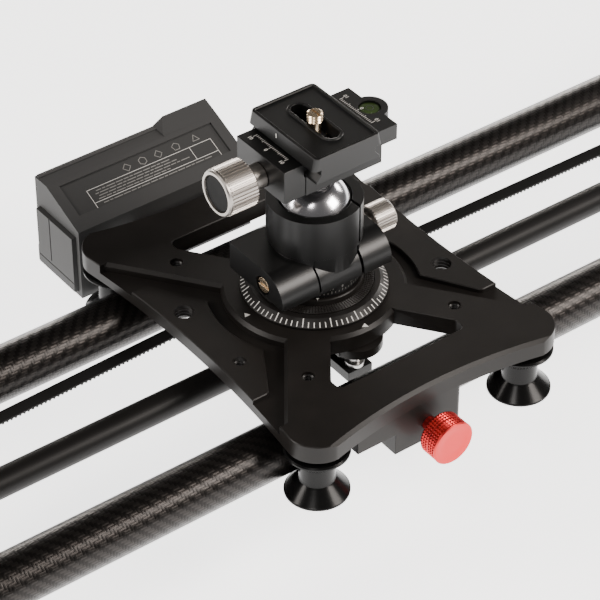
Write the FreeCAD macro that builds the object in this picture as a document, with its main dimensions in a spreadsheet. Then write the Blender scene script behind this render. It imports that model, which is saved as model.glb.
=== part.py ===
"""Motorised camera slider: two carbon tubes, a geared carriage and a low ball head.

Frame: X runs along the rails, Y to the back, Z up.  The origin lies on the floor,
below the middle of the slider.  Heights of carriage and head pieces are worked out
from rail_z, the height of the rail axes.
"""
import FreeCAD
import Part
import math
import os
import re

import Sketcher

V = FreeCAD.Vector

SIZES = {
    # frame
    "rail_z": 60.0,
    "rail_od": 22.0,
    "rail_wall": 1.5,
    "rail_y": 50.8,
    "rail_half": 394.0,
    "rod_radius": 5.9,
    "rod_y": -2.0,
    "rod_drop": 2.0,
    "block_inner": 380.0,
    "block_outer": 404.0,
    "block_half": 66.0,
    "block_top": 16.0,
    "block_bottom": -24.0,
    "leg_y": 44.0,
    "leg_x": 392.0,
    "foot_y": 121.0,
    "leg_width": 18.0,
    "leg_thick": 9.0,
    "leg_gap": 0.4,
    "foot_radius": 9.0,
    # belt and drive
    "belt_y": 34.0,
    "belt_width": 6.0,
    "belt_thick": 1.4,
    "belt_anchor_z": -15.0,
    "belt_left_z": -2.4,
    "belt_right_z": -10.0,
    "idler_x": 16.0,
    "idler_radius": 4.0,
    "pulley_radius": 5.4,
    "pulley_z": -5.0,
    "motor_radius": 10.5,
    # carriage
    "plate_bottom": 14.0,
    "plate_floor": 18.0,
    "plate_pad": 20.0,
    "plate_top": 22.0,
    "plate_half": 59.0,
    "roller_x": 50.8,
    "roller_y": 69.4,
    "lobe_radius": 13.0,
    "neck_radius": 7.2,
    "flange_radius": 13.0,
    "roller_half": 11.0,
    "ring_groove": 37.7260,
    "window_arc": 35.5,
    "shaft_radius": 9.0,
    "block_front": -74.5,
    "block_side": 16.5,
    "block_low": -8.0,
    "knob_radius": 9.6,
    # motor box
    "box_left": -58.5,
    "box_right": 28.5,
    "box_front": 83.6,
    "box_back": 116.0,
    "box_low": -11.5,
    "box_high": 33.0,
    "box_wall": 2.0,
    # pan dial and head
    "dial_radius": 30.0,
    "dial_low": 22.3,
    "dial_high": 25.6,
    "head_low": 29.4,
    "barrel_radius": 18.6,
    "collar_radius": 19.4,
    "collar_top": 66.6,
    "ball_radius": 16.0,
    "ball_z": 59.0,
    "arm_block_left": -30.0,
    "arm_block_right": 24.0,
    "arm_block_back": 16.0,
    "arm_block_front": 19.6,
    "arm_block_top": 47.0,
    "arm_block_round": 11.5,
    "lock_z": 41.0,
    # quick-release clamp
    "clamp_y": 1.5,
    "clamp_half": 15.5,
    "clamp_low": 81.0,
    "clamp_floor": 90.0,
    "jaw_top": 96.0,
    "plate_half_x": 15.3,
    "plate_half_y": 21.4,
    "qr_low": 90.4,
    "qr_top": 102.0,
    "screw_radius": 3.1,
    "clamp_knob_z": 86.4,
    "flange_half": 15.2,
    "waist_half": 13.0,
    "wall_right": 29.5,
    "vial_x": 27.9,
    "vial_radius": 4.4,
    "plate_flare": 1.3,
}

doc = FreeCAD.newDocument("camera_slider")
sheet = doc.addObject("Spreadsheet::Sheet", "Sizes")
for row, (alias, value) in enumerate(SIZES.items(), start=1):
    sheet.set(f"A{row}", alias)
    sheet.set(f"B{row}", str(value))
    sheet.setAlias(f"B{row}", alias)
doc.recompute()

WORD = re.compile(r"[a-z_]+")
TURNS = {
    "X": FreeCAD.Rotation(V(0, 1, 0), 90),
    "Y": FreeCAD.Rotation(V(1, 0, 0), -90),
    "Z": FreeCAD.Rotation(),
}
MADE = {}
NODES = []


def expression(text):
    """Write a size as an expression on the sheet; plain numbers pass through."""
    def named(match):
        word = match.group(0)
        return f"Sizes.{word}" if word in SIZES else word
    return WORD.sub(named, str(text))


def size(text):
    """The value in millimetres of a size written with the sheet's aliases."""
    return float(add_terms(str(text)))


def add_terms(text):
    """Add up a size made of aliases and numbers joined by +, -, * and /."""
    total = 0.0
    for sign, term in re.findall(r"([+-]?)\s*([^+\-]+)", text):
        if not term.strip():
            continue
        product = 1.0
        divide = False
        for factor in re.findall(r"[a-z_]+|[\d.]+|[*/]", term):
            if factor in "*/":
                divide = factor == "/"
                continue
            number = SIZES[factor] if factor in SIZES else float(factor)
            product = product / number if divide else product * number
        total += -product if sign == "-" else product
    return total


def unique(label):
    """A label not used before, so that helpers can share one word."""
    count = MADE.get(label, 0)
    MADE[label] = count + 1
    return label if count == 0 else f"{label}_{count}"


def bind(obj, prop, text):
    """Bind one property to the sheet."""
    obj.setExpression(prop, expression(text))


def place(obj, x, y, z):
    """Bind an object's position to the sheet."""
    for axis, text in zip("xyz", (x, y, z)):
        bind(obj, f"Placement.Base.{axis}", text)


def box(label, xs, ys, zs):
    """A block between three pairs of coordinates."""
    obj = doc.addObject("Part::Box", unique(label))
    for prop, (low, high) in zip(("Length", "Width", "Height"), (xs, ys, zs)):
        bind(obj, prop, f"({high}) - ({low})")
    place(obj, xs[0], ys[0], zs[0])
    return obj


def rod(label, axis, radius, low, high, centre):
    """A cylinder along one axis from low to high; centre gives the other two coordinates."""
    obj = doc.addObject("Part::Cylinder", unique(label))
    bind(obj, "Radius", radius)
    bind(obj, "Height", f"({high}) - ({low})")
    along(obj, axis, low, centre)
    return obj


def taper(label, axis, radii, low, high, centre):
    """A cone frustum along one axis."""
    obj = doc.addObject("Part::Cone", unique(label))
    bind(obj, "Radius1", radii[0])
    bind(obj, "Radius2", radii[1])
    bind(obj, "Height", f"({high}) - ({low})")
    along(obj, axis, low, centre)
    return obj


def along(obj, axis, low, centre):
    """Turn a primitive onto an axis and bind its start point."""
    obj.Placement = FreeCAD.Placement(V(), TURNS[axis])
    spots = {
        "X": (low, centre[0], centre[1]),
        "Y": (centre[0], low, centre[1]),
        "Z": (centre[0], centre[1], low),
    }
    place(obj, *spots[axis])


def ball(label, radius, x, y, z):
    """A whole sphere."""
    obj = doc.addObject("Part::Sphere", unique(label))
    bind(obj, "Radius", radius)
    place(obj, x, y, z)
    return obj


def fuse(label, *shapes):
    """Join shapes that touch, or group separate ones, in one object."""
    obj = doc.addObject("Part::MultiFuse", unique(label))
    obj.Shapes = list(shapes)
    obj.Refine = True
    return obj


def cut(label, base, *tools):
    """Take the tools out of the base."""
    tool = tools[0] if len(tools) == 1 else fuse(f"{label}_tools", *tools)
    obj = doc.addObject("Part::Cut", unique(label))
    obj.Base = base
    obj.Tool = tool
    obj.Refine = True
    return obj


def rounded(label, base, radius, picks, kind="Part::Fillet"):
    """Fillet or chamfer the edges that the test picks."""
    doc.recompute()
    obj = doc.addObject(kind, unique(label))
    obj.Base = base
    value = size(radius)
    obj.Edges = [
        (number, value, value)
        for number, edge in enumerate(base.Shape.Edges, start=1)
        if picks(edge)
    ]
    return obj


def bevelled(label, base, width, picks):
    """Chamfer the edges that the test picks."""
    return rounded(label, base, width, picks, kind="Part::Chamfer")


def origin_plane(body, role):
    """One of the body's own origin planes."""
    return next(item for item in body.Origin.OriginFeatures if item.Role == role)


def outline(body, role, points):
    """A closed polygon sketch whose corners are bound to the sheet."""
    sketch = body.newObject("Sketcher::SketchObject", f"{body.Name}_outline")
    sketch.AttachmentSupport = [(origin_plane(body, role), "")]
    sketch.MapMode = "FlatFace"
    corners = [V(size(x), size(y), 0) for x, y in points]
    count = len(corners)
    for index in range(count):
        line = Part.LineSegment(corners[index], corners[(index + 1) % count])
        sketch.addGeometry(line, False)
    for index in range(count):
        joint = Sketcher.Constraint("Coincident", index, 2, (index + 1) % count, 1)
        sketch.addConstraint(joint)
    for index, (x, y) in enumerate(points):
        for kind, text in (("DistanceX", x), ("DistanceY", y)):
            rule = Sketcher.Constraint(kind, -1, 1, index, 1, size(text))
            number = sketch.addConstraint(rule)
            sketch.setExpression(f"Constraints[{number}]", expression(text))
    return sketch


def lathe(label, axis, profile, x, y, z):
    """A turned piece: profile gives (radius, position along the axis)."""
    body = doc.addObject("PartDesign::Body", unique(label))
    sketch = outline(body, "XZ_Plane", profile)
    turned = body.newObject("PartDesign::Revolution", f"{body.Name}_turned")
    turned.Profile = sketch
    turned.ReferenceAxis = (sketch, ["V_Axis"])
    turned.Angle = 360
    body.Tip = turned
    body.Placement = FreeCAD.Placement(V(), TURNS[axis])
    place(body, x, y, z)
    return body


def slab(label, axis, points, low, high):
    """A prism: points are (Y, Z) for X, (X, Z) for Y and (X, Y) for Z."""
    role = {"X": "YZ_Plane", "Y": "XZ_Plane", "Z": "XY_Plane"}[axis]
    body = doc.addObject("PartDesign::Body", unique(label))
    sketch = outline(body, role, points)
    pad = body.newObject("PartDesign::Pad", f"{body.Name}_pad")
    pad.Profile = sketch
    bind(pad, "Length", f"({high}) - ({low})")
    pad.Reversed = axis == "Y"
    body.Tip = pad
    spot = {"X": (low, 0, 0), "Y": (0, low, 0), "Z": (0, 0, low)}[axis]
    place(body, *spot)
    return body


def node(label, shape):
    """Name a finished sub-part; its label is its file's name."""
    shape.Label = label
    NODES.append(shape)
    return shape


def level(edge, height, slack=0.01):
    """Whether an edge lies flat at one height."""
    bounds = edge.BoundBox
    return abs(bounds.ZMin - height) < slack and abs(bounds.ZMax - height) < slack


def up(text):
    """A height above the rail axes."""
    return f"rail_z + ({text})" if not str(text).startswith("-") else f"rail_z {text}"


def z_of(text):
    """The value of a height above the rail axes."""
    return SIZES["rail_z"] + size(text)


# --------------------------------------------------------------------------- frame
def rails():
    """Two carbon tubes and the guide rod between them."""
    for side, sign in (("front", "-"), ("back", "")):
        centre = (f"{sign}rail_y", "rail_z")
        outer = rod(f"{side}_tube_outer", "X", "rail_od / 2", "-rail_half", "rail_half", centre)
        bore = rod(
            f"{side}_tube_bore", "X", "rail_od / 2 - rail_wall",
            "-rail_half - 1", "rail_half + 1", centre,
        )
        node(f"{side}_rail_tube", cut(f"{side}_tube", outer, bore))
    guide = rod("guide_rod", "X", "rod_radius", "-rail_half", "rail_half",
                ("rod_y", "rail_z - rod_drop"))
    node("middle_rod", guide)


def end_block(side, sign):
    """A machined block that holds the tubes, the guide rod, the belt end and two legs."""
    inner = f"{sign}block_inner"
    outer = f"{sign}block_outer"
    low, high = (inner, outer) if sign == "" else (outer, inner)
    points = [
        ("-block_half", "block_bottom"), ("block_half", "block_bottom"),
        ("block_half", "block_top - 6"), ("block_half - 6", "block_top"),
        ("-block_half + 6", "block_top"), ("-block_half", "block_top - 6"),
    ]
    body = slab(f"{side}_block_body", "X", points, low, high)
    place(body, low, 0, "rail_z")
    socket_low, socket_high = ("block_inner - 1", "rail_half")
    if sign == "-":
        socket_low, socket_high = ("-rail_half", "-block_inner + 1")
    sockets = [
        rod(f"{side}_socket", "X", "rail_od / 2", socket_low, socket_high, (y, "rail_z"))
        for y in ("-rail_y", "rail_y")
    ]
    guide = rod(f"{side}_socket", "X", "rod_radius", socket_low, socket_high,
                ("rod_y", "rail_z - rod_drop"))
    stand = rod(f"{side}_stand_hole", "Z", 4.1, up("block_bottom - 1"), up("block_bottom + 14"),
                (f"{sign}leg_x", 0))
    pivots = [
        rod(f"{side}_pivot_hole", "Z", 3, up("block_bottom - 1"), up("block_bottom + 12"),
            (f"{sign}leg_x", y))
        for y in ("-leg_y", "leg_y")
    ]
    screws = [
        rod(f"{side}_screw_hole", "X", 2, *screw_span(sign), (y, "rail_z"))
        for y in ("-rail_y", "rail_y")
    ]
    clamps = [
        rod(f"{side}_clamp_hole", "X", 1.5, *clamp_span(sign), (f"belt_y {step} 5.5",
            "rail_z + belt_anchor_z"))
        for step in ("-", "+")
    ]
    drilled = cut(f"{side}_block_drilled", body, *sockets, guide, stand, *pivots, *screws, *clamps)
    node(f"{side}_end_block", drilled)


def screw_span(sign):
    """Where a rail screw's shank runs, from its head to the tube."""
    if sign == "-":
        return "-block_outer - 0.5", "-rail_half"
    return "rail_half", "block_outer + 0.5"


def clamp_span(sign):
    """Where a belt clamp screw's shank runs inside the block."""
    if sign == "-":
        return "-block_inner - 8", "-block_inner + 1"
    return "block_inner - 1", "block_inner + 8"


def frame_screws():
    """Button-head screws that close the tube ends in both blocks."""
    screws = []
    for sign in ("-", ""):
        for y in ("-rail_y", "rail_y"):
            low, high = screw_span(sign)
            shank = rod("rail_screw_shank", "X", 2, low, high, (y, "rail_z"))
            if sign == "-":
                head = rod("rail_screw_head", "X", 4.2, "-block_outer - 2.6", "-block_outer",
                           (y, "rail_z"))
                drive = rod("rail_screw_drive", "X", 1.4, "-block_outer - 3",
                            "-block_outer - 1.2", (y, "rail_z"))
            else:
                head = rod("rail_screw_head", "X", 4.2, "block_outer", "block_outer + 2.6",
                           (y, "rail_z"))
                drive = rod("rail_screw_drive", "X", 1.4, "block_outer + 1.2",
                            "block_outer + 3", (y, "rail_z"))
            screws.append(cut("rail_screw", fuse("rail_screw_whole", shank, head), drive))
    node("rail_screws", fuse("rail_screw_set", *screws))


def belt_clamps():
    """Two plates that pin the belt's ends on the blocks' inner faces, with their screws."""
    plates = []
    screws = []
    for sign in ("-", ""):
        near, far = ("block_inner - 4", "block_inner")
        if sign == "-":
            near, far = ("-block_inner", "-block_inner + 4")
        plate = box("belt_clamp_plate", (near, far), ("belt_y - 8.5", "belt_y + 8.5"),
                    (up("belt_anchor_z - 4"), up("belt_anchor_z + 4")))
        slot = box("belt_clamp_slot", (f"{near} - 1", f"{far} + 1"),
                   ("belt_y - 3.1", "belt_y + 3.1"),
                   (up("belt_anchor_z - 1"), up("belt_anchor_z + 1")))
        holes = [
            rod("belt_clamp_bore", "X", 1.5, f"{near} - 1", f"{far} + 1",
                (f"belt_y {step} 5.5", "rail_z + belt_anchor_z"))
            for step in ("-", "+")
        ]
        plates.append(cut("belt_clamp", plate, slot, *holes))
        for step in ("-", "+"):
            spot = (f"belt_y {step} 5.5", "rail_z + belt_anchor_z")
            if sign == "-":
                shank = rod("clamp_screw_shank", "X", 1.5, "-block_inner - 8",
                            "-block_inner + 4.5", spot)
                head = rod("clamp_screw_head", "X", 2.35, "-block_inner + 4",
                           "-block_inner + 6", spot)
            else:
                shank = rod("clamp_screw_shank", "X", 1.5, "block_inner - 4.5",
                            "block_inner + 8", spot)
                head = rod("clamp_screw_head", "X", 2.35, "block_inner - 6",
                           "block_inner - 4", spot)
            screws.append(fuse("clamp_screw", shank, head))
    node("belt_clamps", fuse("belt_clamp_pair", *plates))
    node("belt_clamp_screws", fuse("belt_clamp_screw_set", *screws))


def bumpers():
    """Rubber stops around the guide rod, where the carriage ends its travel."""
    rings = []
    for low, high in (("-block_inner", "-block_inner + 5"), ("block_inner - 5", "block_inner")):
        centre = ("rod_y", "rail_z - rod_drop")
        ring = rod("bumper_outer", "X", 10, low, high, centre)
        hole = rod("bumper_bore", "X", "rod_radius", f"{low} - 1", f"{high} + 1", centre)
        rings.append(cut("bumper", ring, hole))
    node("end_bumpers", fuse("bumper_pair", *rings))


def leg(side, end, x_sign, y_sign):
    """A flat swinging leg with its pivot bolt and its screwed foot."""
    top = "block_bottom - leg_gap"
    low = up(f"{top} - leg_thick")
    high = up(top)
    pivot = (f"{x_sign}leg_x", f"{y_sign}leg_y")
    toe = (f"{x_sign}leg_x", f"{y_sign}foot_y")
    ys = (pivot[1], toe[1]) if y_sign == "" else (toe[1], pivot[1])
    bar = box("leg_bar", (f"{x_sign}leg_x - leg_width / 2", f"{x_sign}leg_x + leg_width / 2"),
              ys, (low, high))
    ends = [rod("leg_end", "Z", "leg_width / 2", low, high, spot) for spot in (pivot, toe)]
    slot_ys = (f"{pivot[1]} {'+' if y_sign == '' else '-'} 18",
               f"{toe[1]} {'-' if y_sign == '' else '+'} 18")
    if y_sign == "-":
        slot_ys = (slot_ys[1], slot_ys[0])
    slot = box("leg_slot", (f"{x_sign}leg_x - 3", f"{x_sign}leg_x + 3"), slot_ys,
               (f"{low} - 1", f"{high} + 1"))
    pivot_bore = rod("leg_pivot_bore", "Z", 3.08, f"{low} - 1", f"{high} + 1", pivot)
    thread = rod("leg_thread", "Z", 3.08, f"{low} - 1", f"{high} + 1", toe)
    whole = cut("leg_cut", fuse("leg_whole", bar, *ends), slot, pivot_bore, thread)
    doc.recompute()
    node(f"{end}_{side}_leg", whole)

    stud = rod("foot_stud", "Z", 3, 5, f"{high} + 3", toe)
    cap = rod("foot_nut", "Z", 6.5, f"{high} + 3", f"{high} + 7.5", toe)
    cup = taper("foot_cup", "Z", ("foot_radius - 1", 5), 4, 8, toe)
    pad = rod("foot_pad", "Z", "foot_radius", 0, 4.5, toe)
    node(f"{end}_{side}_foot", fuse("foot_whole", stud, cap, cup, pad))


def pivot_bolts():
    """Shoulder bolts on which the four legs swing."""
    bolts = []
    for x_sign in ("-", ""):
        for y_sign in ("-", ""):
            spot = (f"{x_sign}leg_x", f"{y_sign}leg_y")
            under = "block_bottom - leg_gap - leg_thick - 0.4"
            shank = rod("pivot_shank", "Z", 3, up(f"{under} - 1"), up("block_bottom + 12"), spot)
            head = rod("pivot_head", "Z", 6, up(f"{under} - 4"), up(under), spot)
            drive = rod("pivot_drive", "Z", 2.2, up(f"{under} - 5"), up(f"{under} - 2"), spot)
            bolts.append(cut("pivot_bolt", fuse("pivot_whole", shank, head), drive))
    node("leg_pivot_bolts", fuse("pivot_bolt_set", *bolts))


# ---------------------------------------------------------------------------- belt
def belt_run(side, sign, carriage_z, guide_x):
    """One straight run of the belt, from its clamp to the carriage."""
    start = V(size(f"{sign}block_inner {'+' if sign else '-'} 0.5"), 0, z_of("belt_anchor_z"))
    stop = V(guide_x, 0, z_of(carriage_z))
    half = SIZES["belt_thick"] / 2
    rise = V(0, 0, half)
    ring = [start - rise, stop - rise, stop + rise, start + rise]
    near = SIZES["belt_y"] - SIZES["belt_width"] / 2
    corners = [V(point.x, near, point.z) for point in ring]
    face = Part.Face(Part.makePolygon(corners + corners[:1]))
    run = doc.addObject("Part::Feature", f"{side}_belt_run_solid")
    run.Shape = face.extrude(V(0, SIZES["belt_width"], 0))
    node(f"{side}_belt_run", run)


def belt_path(shift):
    """The belt's line through the carriage, moved by shift towards its smooth back.

    It runs under the left guide wheel, over the pulley and under the right guide wheel.
    """
    half = SIZES["belt_thick"] / 2
    pulley = V(0, 0, z_of("pulley_z"))
    pulley_reach = SIZES["pulley_radius"] + 0.3 + half
    guide_reach = SIZES["idler_radius"] + 0.3 + half
    edges = []
    for sign, name in ((-1, "belt_left_z"), (1, "belt_right_z")):
        wheel_centre = V(sign * SIZES["idler_x"], 0, z_of(name) + guide_reach)
        gap = pulley - wheel_centre
        lean = math.atan2(gap.z, gap.x)
        swing = math.acos((guide_reach + pulley_reach) / math.hypot(gap.x, gap.z))
        angle = lean + sign * swing
        step = V(math.cos(angle), 0, math.sin(angle))
        low = wheel_centre - V(0, 0, guide_reach - shift)
        leave = wheel_centre + step * (guide_reach - shift)
        meet = pulley - step * (pulley_reach + shift)
        toward = (low + leave) * 0.5 - wheel_centre
        middle = wheel_centre + toward * ((guide_reach - shift) / toward.Length)
        edges.append([
            Part.LineSegment(low + V(sign * 6, 0, 0), low).toShape(),
            Part.Arc(low, middle, leave).toShape(),
            Part.LineSegment(leave, meet).toShape(),
        ])
        edges[-1].append(meet)
    start, stop = edges[0].pop(), edges[1].pop()
    crown = pulley + V(0, 0, pulley_reach + shift)
    over = Part.Arc(start, crown, stop).toShape()
    return edges[0] + [over] + edges[1]


def belt_loop():
    """The stretch of belt inside the carriage."""
    half = SIZES["belt_thick"] / 2
    back = belt_path(half)
    teeth = belt_path(-half)
    ends = [
        Part.LineSegment(back[index].Vertexes[0].Point, teeth[index].Vertexes[0].Point).toShape()
        for index in (0, 4)
    ]
    ring = Part.Wire(Part.__sortEdges__(back + teeth + ends))
    loop = doc.addObject("Part::Feature", "belt_loop_solid")
    loop.Shape = Part.Face(ring).extrude(V(0, SIZES["belt_width"], 0))
    loop.Placement = FreeCAD.Placement(V(0, SIZES["belt_y"] - SIZES["belt_width"] / 2, 0),
                                       FreeCAD.Rotation())
    node("belt_loop", loop)


def wheel(label, x, z, radius, rim, shaft):
    """A flanged wheel on a shaft along Y."""
    near, far = ("belt_y - 3.4", "belt_y + 3.4")
    hub = rod(f"{label}_hub", "Y", radius, near, far, (x, z))
    front = rod(f"{label}_flange", "Y", rim, "belt_y - 4.2", near, (x, z))
    back = rod(f"{label}_flange", "Y", rim, far, "belt_y + 4.2", (x, z))
    bore = rod(f"{label}_bore", "Y", shaft, "belt_y - 5", "belt_y + 5", (x, z))
    node(label, cut(f"{label}_bored", fuse(f"{label}_whole", hub, front, back), bore))


def drive():
    """Motor, its bracket, the toothed pulley and the two guide wheels."""
    spot = (0, up("pulley_z"))
    can = rod("motor_can", "Y", "motor_radius", 9.5, 26, spot)
    nose = rod("motor_nose", "Y", 4.1, 26, 28.4, spot)
    shaft = rod("motor_shaft", "Y", 1.5, 28.4, "belt_y + 4.8", spot)
    node("drive_motor", fuse("motor_whole", can, nose, shaft))
    plate = box("bracket_plate", ("-idler_x - 6", "idler_x + 6"), (26, 28.5),
                (up("pulley_z - 9"), up("plate_bottom")))
    opening = rod("bracket_bore", "Y", 4.2, 25, 29, spot)
    pins = []
    for sign, height in (("-", "belt_left_z"), ("", "belt_right_z")):
        centre = (f"{sign}idler_x", up(f"{height} + idler_radius + 1"))
        pins.append(rod("guide_pin", "Y", 1.5, 28.5, "belt_y + 5", centre))
    node("motor_bracket", fuse("bracket_whole", cut("bracket_cut", plate, opening), *pins))
    wheel("drive_pulley", 0, up("pulley_z"), "pulley_radius", 7.2, 1.53)
    wheel("left_guide_wheel", "-idler_x", up("belt_left_z + idler_radius + 1"),
          "idler_radius", 5.4, 1.55)
    wheel("right_guide_wheel", "idler_x", up("belt_right_z + idler_radius + 1"),
          "idler_radius", 5.4, 1.55)


# ------------------------------------------------------------------------ carriage
def carriage_plate():
    """The milled plate: raised X with corner lobes, side pads, two windows, bores."""
    low = up("plate_bottom")
    core_x = box("plate_core_x", ("-roller_x - lobe_radius", "roller_x + lobe_radius"),
                 ("-roller_y", "roller_y"), (low, up("plate_top")))
    core_y = box("plate_core_y", ("-roller_x", "roller_x"),
                 ("-roller_y - lobe_radius", "roller_y + lobe_radius"), (low, up("plate_top")))
    lobes = [
        rod("plate_lobe", "Z", "lobe_radius", low, up("plate_top"), (x, y))
        for x in ("-roller_x", "roller_x") for y in ("-roller_y", "roller_y")
    ]
    blank = fuse("plate_blank", core_x, core_y, *lobes)
    over = (f"{low} - 1", f"{up('plate_top')} + 1")
    front_bow = bow_radius(SIZES["roller_x"], SIZES["roller_y"] + SIZES["lobe_radius"] - 76.5)
    side_bow = bow_radius(SIZES["roller_y"],
                          SIZES["roller_x"] + SIZES["lobe_radius"] - SIZES["plate_half"])
    bows = [
        rod("plate_end_bow", "Z", front_bow, *over, (0, f"{sign}76.5 {sign or '+'} {front_bow}"))
        for sign in ("-", "")
    ]
    bows += [
        rod("plate_side_bow", "Z", side_bow, *over,
            (f"{sign}plate_half {sign or '+'} {side_bow}", 0))
        for sign in ("-", "")
    ]
    shaped = cut("plate_shaped", blank, *bows)

    channels = []
    for sign in ("-", ""):
        points = [
            (f"{sign}31", "-21.5"), (f"{sign}60.6", "-61.5"), (f"{sign}80", "-61.5"),
            (f"{sign}80", "61.5"), (f"{sign}60.6", "61.5"), (f"{sign}31", "21.5"),
        ]
        wedge = slab("plate_channel", "Z", points, up("plate_floor"), f"{up('plate_top')} + 1")
        hub = rod("plate_hub", "Z", "ring_groove", low, over[1], (0, 0))
        channels.append(cut("plate_channel_arc", wedge, hub))
    lowered = cut("plate_lowered", shaped, *channels)

    def upright(edge):
        """Edges that stand along Z."""
        return edge.BoundBox.ZLength > 1

    pads = []
    for sign in ("-", ""):
        points = [
            (f"{sign}38", "-17"), (f"{sign}53", "-41.5"), (f"{sign}80", "-41.5"),
            (f"{sign}80", "41.5"), (f"{sign}53", "41.5"), (f"{sign}38", "17"),
        ]
        blank_pad = slab("plate_pad_blank", "Z", points, up("plate_floor - 1"), up("plate_pad"))
        pad = rounded("plate_pad", blank_pad, 3, upright)
        hub = rod("plate_pad_arc", "Z", 43.5, low, over[1], (0, 0))
        bow = rod("plate_pad_bow", "Z", side_bow, *over,
                  (f"{sign}plate_half {sign or '+'} {side_bow}", 0))
        pads.append(cut("plate_pad_shaped", pad, hub, bow))
    raised = fuse("plate_raised", lowered, *pads)

    windows = []
    for sign in ("-", ""):
        points = [
            ("-14", f"{sign}29"), ("14", f"{sign}29"), ("31", f"{sign}52"),
            ("31", f"{sign}57.5"), ("-31", f"{sign}57.5"), ("-31", f"{sign}52"),
        ]
        window = rounded("plate_window", slab("plate_window_blank", "Z", points, *over), 2.5,
                         upright)
        hub = rod("plate_window_arc", "Z", "window_arc", *over, (0, 0))
        windows.append(cut("plate_window_shaped", window, hub))
    bores = [rod("plate_shaft_bore", "Z", "shaft_radius + 0.08", *over, (0, 0))]
    for x, y, radius in plate_holes():
        bores.append(rod("plate_hole", "Z", radius, *over, (x, y)))
    for x in ("-roller_x", "roller_x"):
        for y in ("-roller_y", "roller_y"):
            bores.append(rod("plate_axle_hole", "Z", 2, low + " - 1", up("plate_bottom + 5"),
                             (x, y)))
    pierced = cut("plate_pierced", raised, *windows, *bores)
    top = z_of("plate_top")

    def outer_rim(edge):
        """Top edges of the arms, the end bows and the windows."""
        radius = getattr(edge.Curve, "Radius", 0)
        curved = edge.Length > 5 and 15 < radius < 400
        arm_side = radius == 0 and 30 < edge.Length < 54
        return level(edge, top) and (curved or arm_side)

    node("carriage_plate", bevelled("plate_bevelled", pierced, "1.4", outer_rim))


def bow_radius(half, depth):
    """Radius of an arc over a chord of twice half, with the given depth."""
    return (half ** 2 + depth ** 2) / (2 * depth)


def plate_holes():
    """Places and radii of the threaded holes: 1/4 inch in the arms, both sizes in the pads."""
    small, large = 2.7, 4.1
    holes = [(x, y, small) for x in (-36.5, 36.5) for y in (-44.5, 44.5)]
    holes += [(-51.0, 18.5, large), (51.0, -18.5, large)]
    holes += [(-51.0, -19.5, small), (51.0, 19.5, small)]
    return holes


def roller(side, end, x, y):
    """A spool-shaped wheel that hugs a tube."""
    waist = 18.6 + 0.3
    reach = SIZES["rail_od"] / 2
    profile = [
        ("5.05", "-roller_half"), ("flange_radius", "-roller_half"),
        ("flange_radius", "-roller_half + 1.4"),
    ]
    steps = [-9.2, -7.6, -5.8, -3.6, 3.6, 5.8, 7.6, 9.2]
    for height in steps:
        radius = max(SIZES["neck_radius"], waist - 0.9 - math.sqrt(reach ** 2 - height ** 2))
        profile.append((f"{radius:.2f}", f"{height}"))
    profile += [
        ("flange_radius", "roller_half - 1.4"), ("flange_radius", "roller_half"),
        ("5.05", "roller_half"),
    ]
    node(f"{end}_{side}_roller", lathe(f"{end}_{side}_spool", "Z", profile, x, y, "rail_z"))


def axles():
    """Shoulder bolts and ball bearings of the four rollers."""
    bolts = []
    bearings = []
    for x in ("-roller_x", "roller_x"):
        for y in ("-roller_y", "roller_y"):
            spot = (x, y)
            shank = rod("axle_shank", "Z", 2, up("-roller_half - 1.5"),
                        up("plate_bottom + 5"), spot)
            head = rod("axle_head", "Z", 4.6, up("-roller_half - 4"), up("-roller_half - 1.2"),
                       spot)
            drive_hole = rod("axle_drive", "Z", 1.6, up("-roller_half - 5"),
                             up("-roller_half - 2.6"), spot)
            bolts.append(cut("axle", fuse("axle_whole", shank, head), drive_hole))
            spans = (("-roller_half - 1.2", "-roller_half + 4"),
                     ("roller_half - 4", "plate_bottom"))
            for low, high in spans:
                ring = rod("bearing_ring", "Z", 5, up(low), up(high), spot)
                inner = rod("bearing_bore", "Z", 2, f"{up(low)} - 1", f"{up(high)} + 1", spot)
                bearings.append(cut("bearing", ring, inner))
    node("roller_axles", fuse("axle_set", *bolts))
    node("roller_bearings", fuse("bearing_set", *bearings))


def brake():
    """Clamp block, pressure pad and knurled screw that lock the carriage on the front rail."""
    block = box("brake_cheek", ("-block_side", "block_side"), ("block_front", -66),
                (up("block_low"), up("plate_bottom")))
    wing = box("brake_wing", (-35, "block_side"), ("block_front", -66),
               (up("2"), up("plate_bottom")))
    bore = rod("brake_bore", "Y", 3.08, "block_front - 1", -65, (0, "rail_z"))
    whole = cut("brake_bored", fuse("brake_whole", block, wing), bore)
    node("brake_block", rounded("brake_rounded", whole, "2.5", brake_corner))

    screw = rod("brake_screw", "Y", 3, -80, -65.6, (0, "rail_z"))
    collar = rod("brake_collar", "Y", 4.6, -80.5, -78.5, (0, "rail_z"))
    grip = rod("brake_grip", "Y", "knob_radius", -90, -80.5, (0, "rail_z"))
    dish = rod("brake_dish", "Y", "knob_radius - 2.6", -90.5, -89.4, (0, "rail_z"))
    knob = cut("brake_knob_cut", fuse("brake_knob_whole", screw, collar, grip), dish)
    node("brake_knob", knob)
    node("brake_pad", rod("brake_shoe", "Y", 4.5, -65.5, -63.5, (0, "rail_z")))


def brake_corner(edge):
    """The upright front edges of the clamp block."""
    bounds = edge.BoundBox
    return bounds.ZLength > 15 and bounds.YMax < size("block_front") + 0.5


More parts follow.
